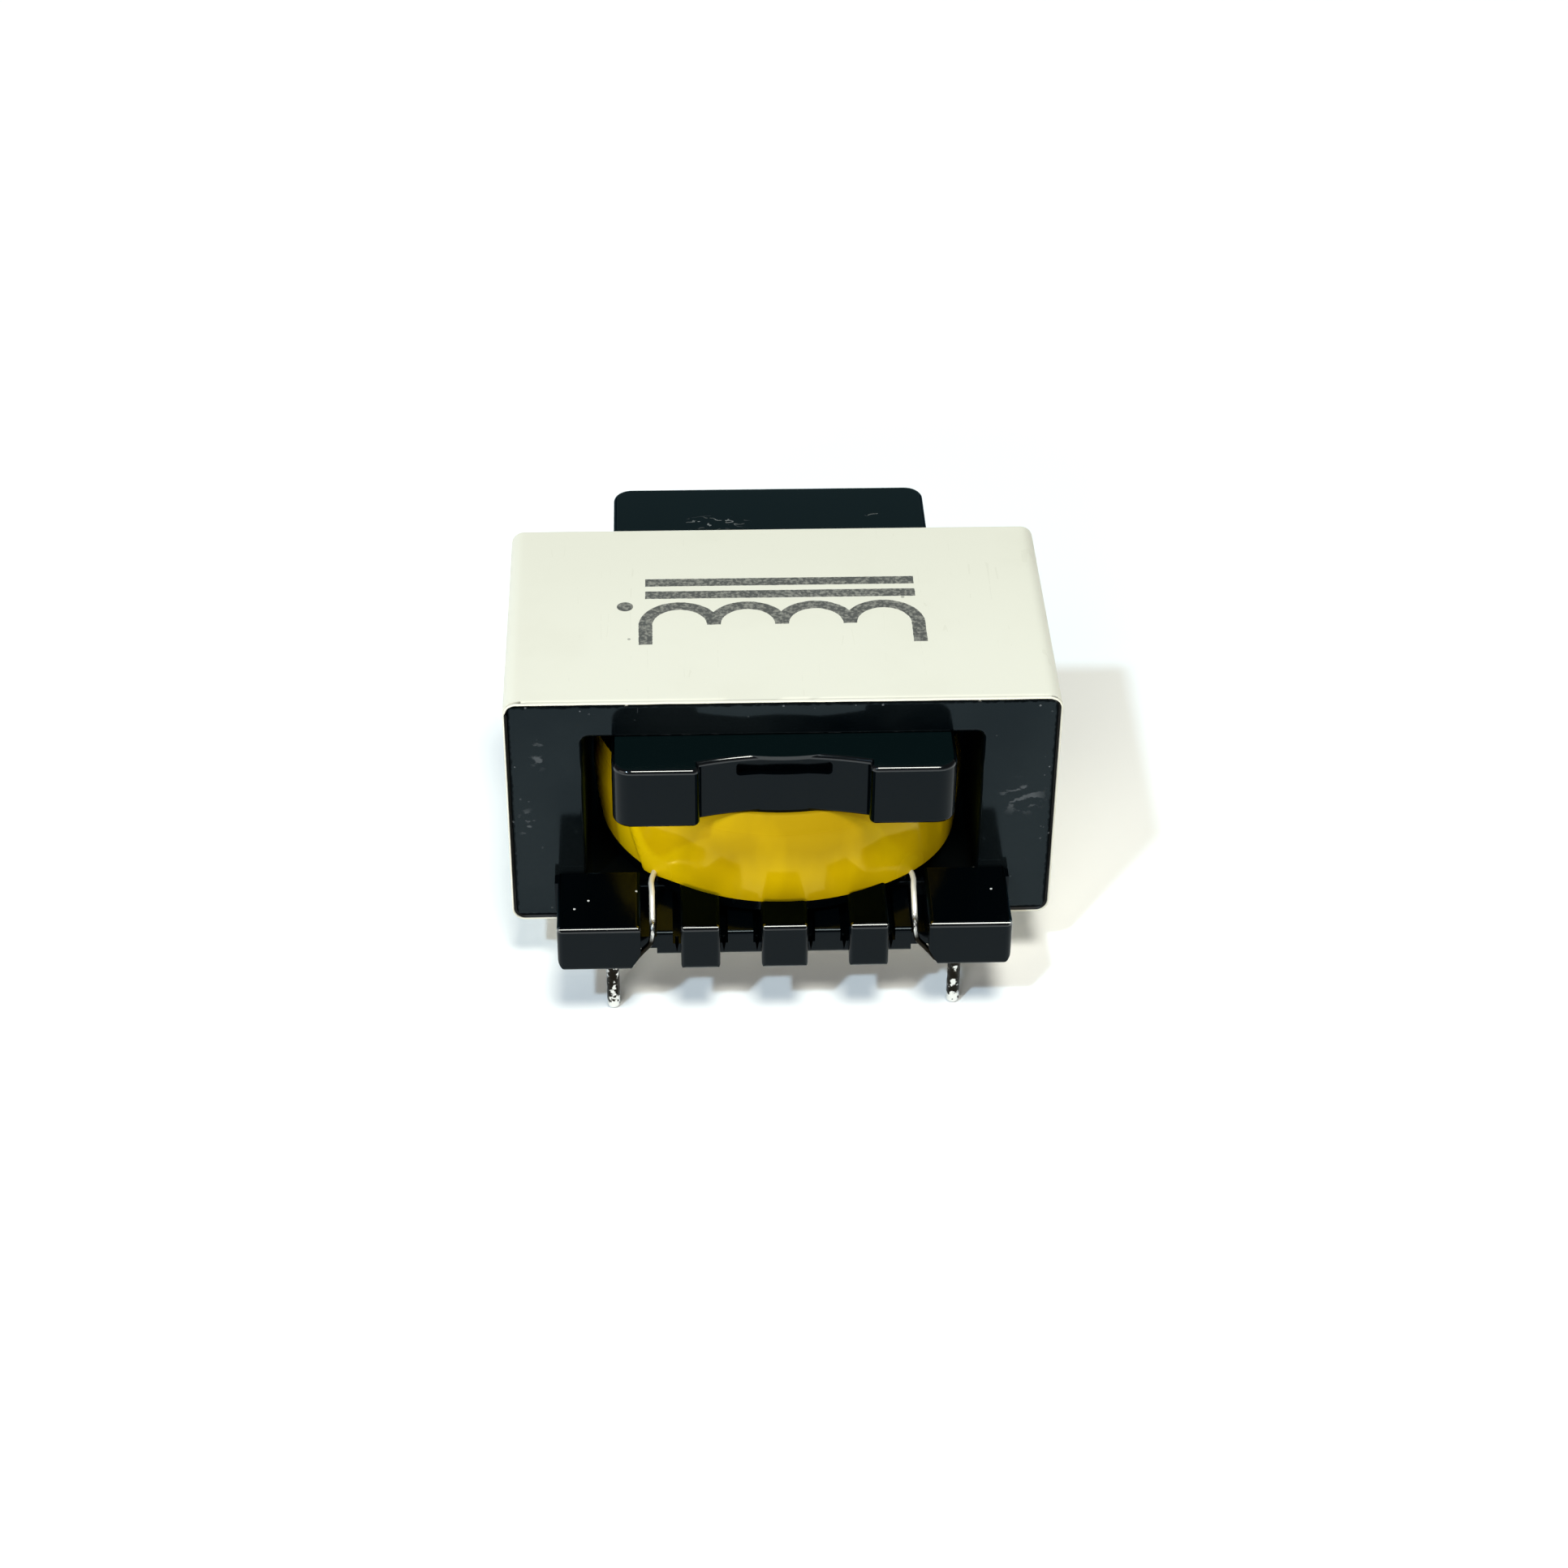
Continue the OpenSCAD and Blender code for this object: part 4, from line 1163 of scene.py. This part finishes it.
class INDUCTOR_OT_ferrite_core(bpy.types.Operator):
    """Give the two core halves their polished ferrite"""

    bl_idname = "inductor.ferrite_core"
    bl_label = "Ferrite core"

    def execute(self, context):
        finish = context.scene.inductor_look.ferrite
        dress(ferrite_material(finish), "core_half_upper", "core_half_lower")
        return {"FINISHED"}


class INDUCTOR_OT_band(bpy.types.Operator):
    """Wrap the off-white band round the core"""

    bl_idname = "inductor.band"
    bl_label = "Band"

    def execute(self, context):
        finish = context.scene.inductor_look.band
        shape = band_shape(finish)
        new_piece("band_wrap", shape, band_material(finish), "core_band", BAND_SHARP)
        return {"FINISHED"}


class INDUCTOR_OT_bobbin(bpy.types.Operator):
    """Give the bobbin its glossy black moulding"""

    bl_idname = "inductor.bobbin"
    bl_label = "Bobbin"

    def execute(self, context):
        dress(bobbin_material(context.scene.inductor_look.bobbin), "bobbin")
        return {"FINISHED"}


class INDUCTOR_OT_tape(bpy.types.Operator):
    """Wrap the yellow film round the coil"""

    bl_idname = "inductor.tape"
    bl_label = "Tape"

    def execute(self, context):
        finish = context.scene.inductor_look.tape
        shape = tape_shape(finish)
        new_piece("film_wrap", shape, tape_material(finish), "winding_tape", TAPE_SHARP)
        return {"FINISHED"}


class INDUCTOR_OT_winding(bpy.types.Operator):
    """Give the coil and its leads their wire"""

    bl_idname = "inductor.winding"
    bl_label = "Winding and leads"

    def execute(self, context):
        dress(wire_material(context.scene.inductor_look.metal), "winding")
        return {"FINISHED"}


class INDUCTOR_OT_pins(bpy.types.Operator):
    """Turn the four pins with their dip of tin"""

    bl_idname = "inductor.pins"
    bl_label = "Pins"

    def execute(self, context):
        finish = context.scene.inductor_look.metal
        material = tin_material(finish)
        for row in ("front", "rear"):
            for side in ("left", "right"):
                node = f"pin_{row}_{side}"
                shape = pin_shape(node, finish)
                new_piece(f"tinned_{node}", shape, material, node, PIN_SHARP)
        return {"FINISHED"}


class INDUCTOR_OT_solder(bpy.types.Operator):
    """Give the two solder joints their bright metal"""

    bl_idname = "inductor.solder"
    bl_label = "Solder"

    def execute(self, context):
        dress(solder_material(context.scene.inductor_look.metal), "solder_left", "solder_right")
        return {"FINISHED"}


def floor_material(look):
    """Pale floor that shows as white and keeps the part's shadow."""
    material, graph, shader = new_material("Pale floor")
    graph.feed(shader["Base Color"], look.floor_colour)
    graph.feed(shader["Roughness"], FLOOR_ROUGHNESS)
    graph.feed(shader["Specular IOR Level"], FLOOR_GLOSS)
    return material


def add_floor(look):
    """A wide pale disc under the pins."""
    shape = bmesh.new()
    bmesh.ops.create_circle(shape, cap_ends=True, radius=FLOOR_RADIUS, segments=FLOOR_SIDES)
    floor = to_object("floor", shape, floor_material(look))


def add_lamp(name, place, brightness, colour, size, mirrored=True):
    """A round soft lamp, aimed at the part, that shows in glossy surfaces or only lights them."""
    azimuth, elevation, distance = place
    target = (CAD_BOX[0] + CAD_BOX[1]) / 2
    flat = math.cos(elevation)
    way = Vector((math.sin(azimuth) * flat, -math.cos(azimuth) * flat, math.sin(elevation)))
    lamp = bpy.data.lights.new(name, "AREA")
    lamp.shape = "DISK"
    lamp.size = size
    lamp.color = colour
    lamp.energy = brightness * (math.pi * distance) ** 2 / math.sin(elevation)
    holder = bpy.data.objects.new(name, lamp)
    holder.location = target + way * distance
    holder.rotation_euler = (-way).to_track_quat("-Z", "Y").to_euler()
    holder.visible_glossy = mirrored
    bpy.context.scene.collection.objects.link(holder)


def add_surroundings(look):
    """A plain room, pale near the floor and dim overhead, with one bright side and a wall behind."""
    world = bpy.data.worlds.new("Plain room")
    world.use_nodes = True
    graph = Graph(world.node_tree)
    way = graph.node("ShaderNodeTexCoord").outputs["Generated"]
    facing = graph.vector("DOT_PRODUCT", way, BRIGHT_SIDE, output="Value")
    low = graph.fade(facing, *BRIGHT_FADE, look.horizon_level, look.bright_level)
    part = graph.split(way)
    ring = graph.fade(part["Z"], *HORIZON_FADE, low, look.zenith_level)
    behind = graph.fade(part["Y"], *BACK_SIDE)
    wall = graph.calc("MULTIPLY", behind, graph.fade(part["Z"], *BACK_FADE, look.back_level, 0.0))
    glow = graph.calc("MAXIMUM", ring, wall)
    background = world.node_tree.nodes["Background"].inputs
    graph.feed(background["Color"], graph.mix(behind, WHITE, look.back_colour))
    graph.feed(background["Strength"], glow)
    bpy.context.scene.world = world


def add_camera():
    """The camera, at the photograph's place and angle."""
    flat = math.cos(PITCH)
    ahead = Vector((-math.sin(YAW) * flat, math.cos(YAW) * flat, -math.sin(PITCH)))
    right = ahead.cross(Vector((0.0, 0.0, 1.0))).normalized()
    up = right.cross(ahead)
    leaned_right = right * math.cos(ROLL) + up * math.sin(ROLL)
    leaned_up = up * math.cos(ROLL) - right * math.sin(ROLL)
    turn = Matrix((leaned_right, leaned_up, -ahead)).transposed()
    lens = bpy.data.cameras.new("camera")
    lens.sensor_width = SENSOR_WIDTH
    lens.lens = SENSOR_WIDTH * FOCAL_PIXELS / FRAME_SIDE
    lens.clip_start = CLIP_NEAR
    lens.clip_end = CLIP_FAR
    camera = bpy.data.objects.new("camera", lens)
    camera.matrix_world = Matrix.Translation(EYE) @ turn.to_4x4()
    bpy.context.scene.collection.objects.link(camera)
    bpy.context.scene.camera = camera


class INDUCTOR_OT_stage(bpy.types.Operator):
    """Set the floor, the lamps, the surroundings and the camera"""

    bl_idname = "inductor.stage"
    bl_label = "Stage"

    def execute(self, context):
        look = context.scene.inductor_look.stage
        context.scene.view_settings.view_transform = "Standard"
        add_floor(look)
        add_lamp("key_lamp", KEY_PLACE, look.key_level, look.key_colour, look.key_size)
        add_lamp("fill_lamp", FILL_PLACE, look.fill_level, look.fill_colour, look.fill_size)
        add_lamp("side_lamp", SIDE_PLACE, look.side_level, look.side_colour, look.side_size)
        add_lamp("low_lamp", LOW_PLACE, look.low_level, look.low_colour, look.low_size, mirrored=False)
        add_surroundings(look)
        add_camera()
        return {"FINISHED"}


STEPS = (
    INDUCTOR_OT_ferrite_core,
    INDUCTOR_OT_band,
    INDUCTOR_OT_bobbin,
    INDUCTOR_OT_tape,
    INDUCTOR_OT_winding,
    INDUCTOR_OT_pins,
    INDUCTOR_OT_solder,
    INDUCTOR_OT_stage,
)


class INDUCTOR_PT_looks(bpy.types.Panel):
    """Steps that finish the part"""

    bl_idname = "INDUCTOR_PT_looks"
    bl_label = "Inductor"
    bl_space_type = "VIEW_3D"
    bl_region_type = "UI"
    bl_category = "Inductor"

    def draw(self, context):
        for step in STEPS:
            self.layout.operator(step.bl_idname)


CLASSES = (
    FerriteFinish,
    BandFinish,
    BobbinFinish,
    TapeFinish,
    MetalFinish,
    StageLook,
    InductorLook,
    *STEPS,
    INDUCTOR_PT_looks,
)


def register():
    """Makes the finishes, steps and panel known to Blender."""
    for each in CLASSES:
        bpy.utils.register_class(each)
    bpy.types.Scene.inductor_look = PointerProperty(type=InductorLook)


def unregister():
    """Takes the finishes, steps and panel away again."""
    del bpy.types.Scene.inductor_look
    for each in reversed(CLASSES):
        bpy.utils.unregister_class(each)


def main():
    """Runs every step in order."""
    register()
    bpy.ops.inductor.ferrite_core()
    bpy.ops.inductor.band()
    bpy.ops.inductor.bobbin()
    bpy.ops.inductor.tape()
    bpy.ops.inductor.winding()
    bpy.ops.inductor.pins()
    bpy.ops.inductor.solder()
    bpy.ops.inductor.stage()


if __name__ == "__main__":
    main()
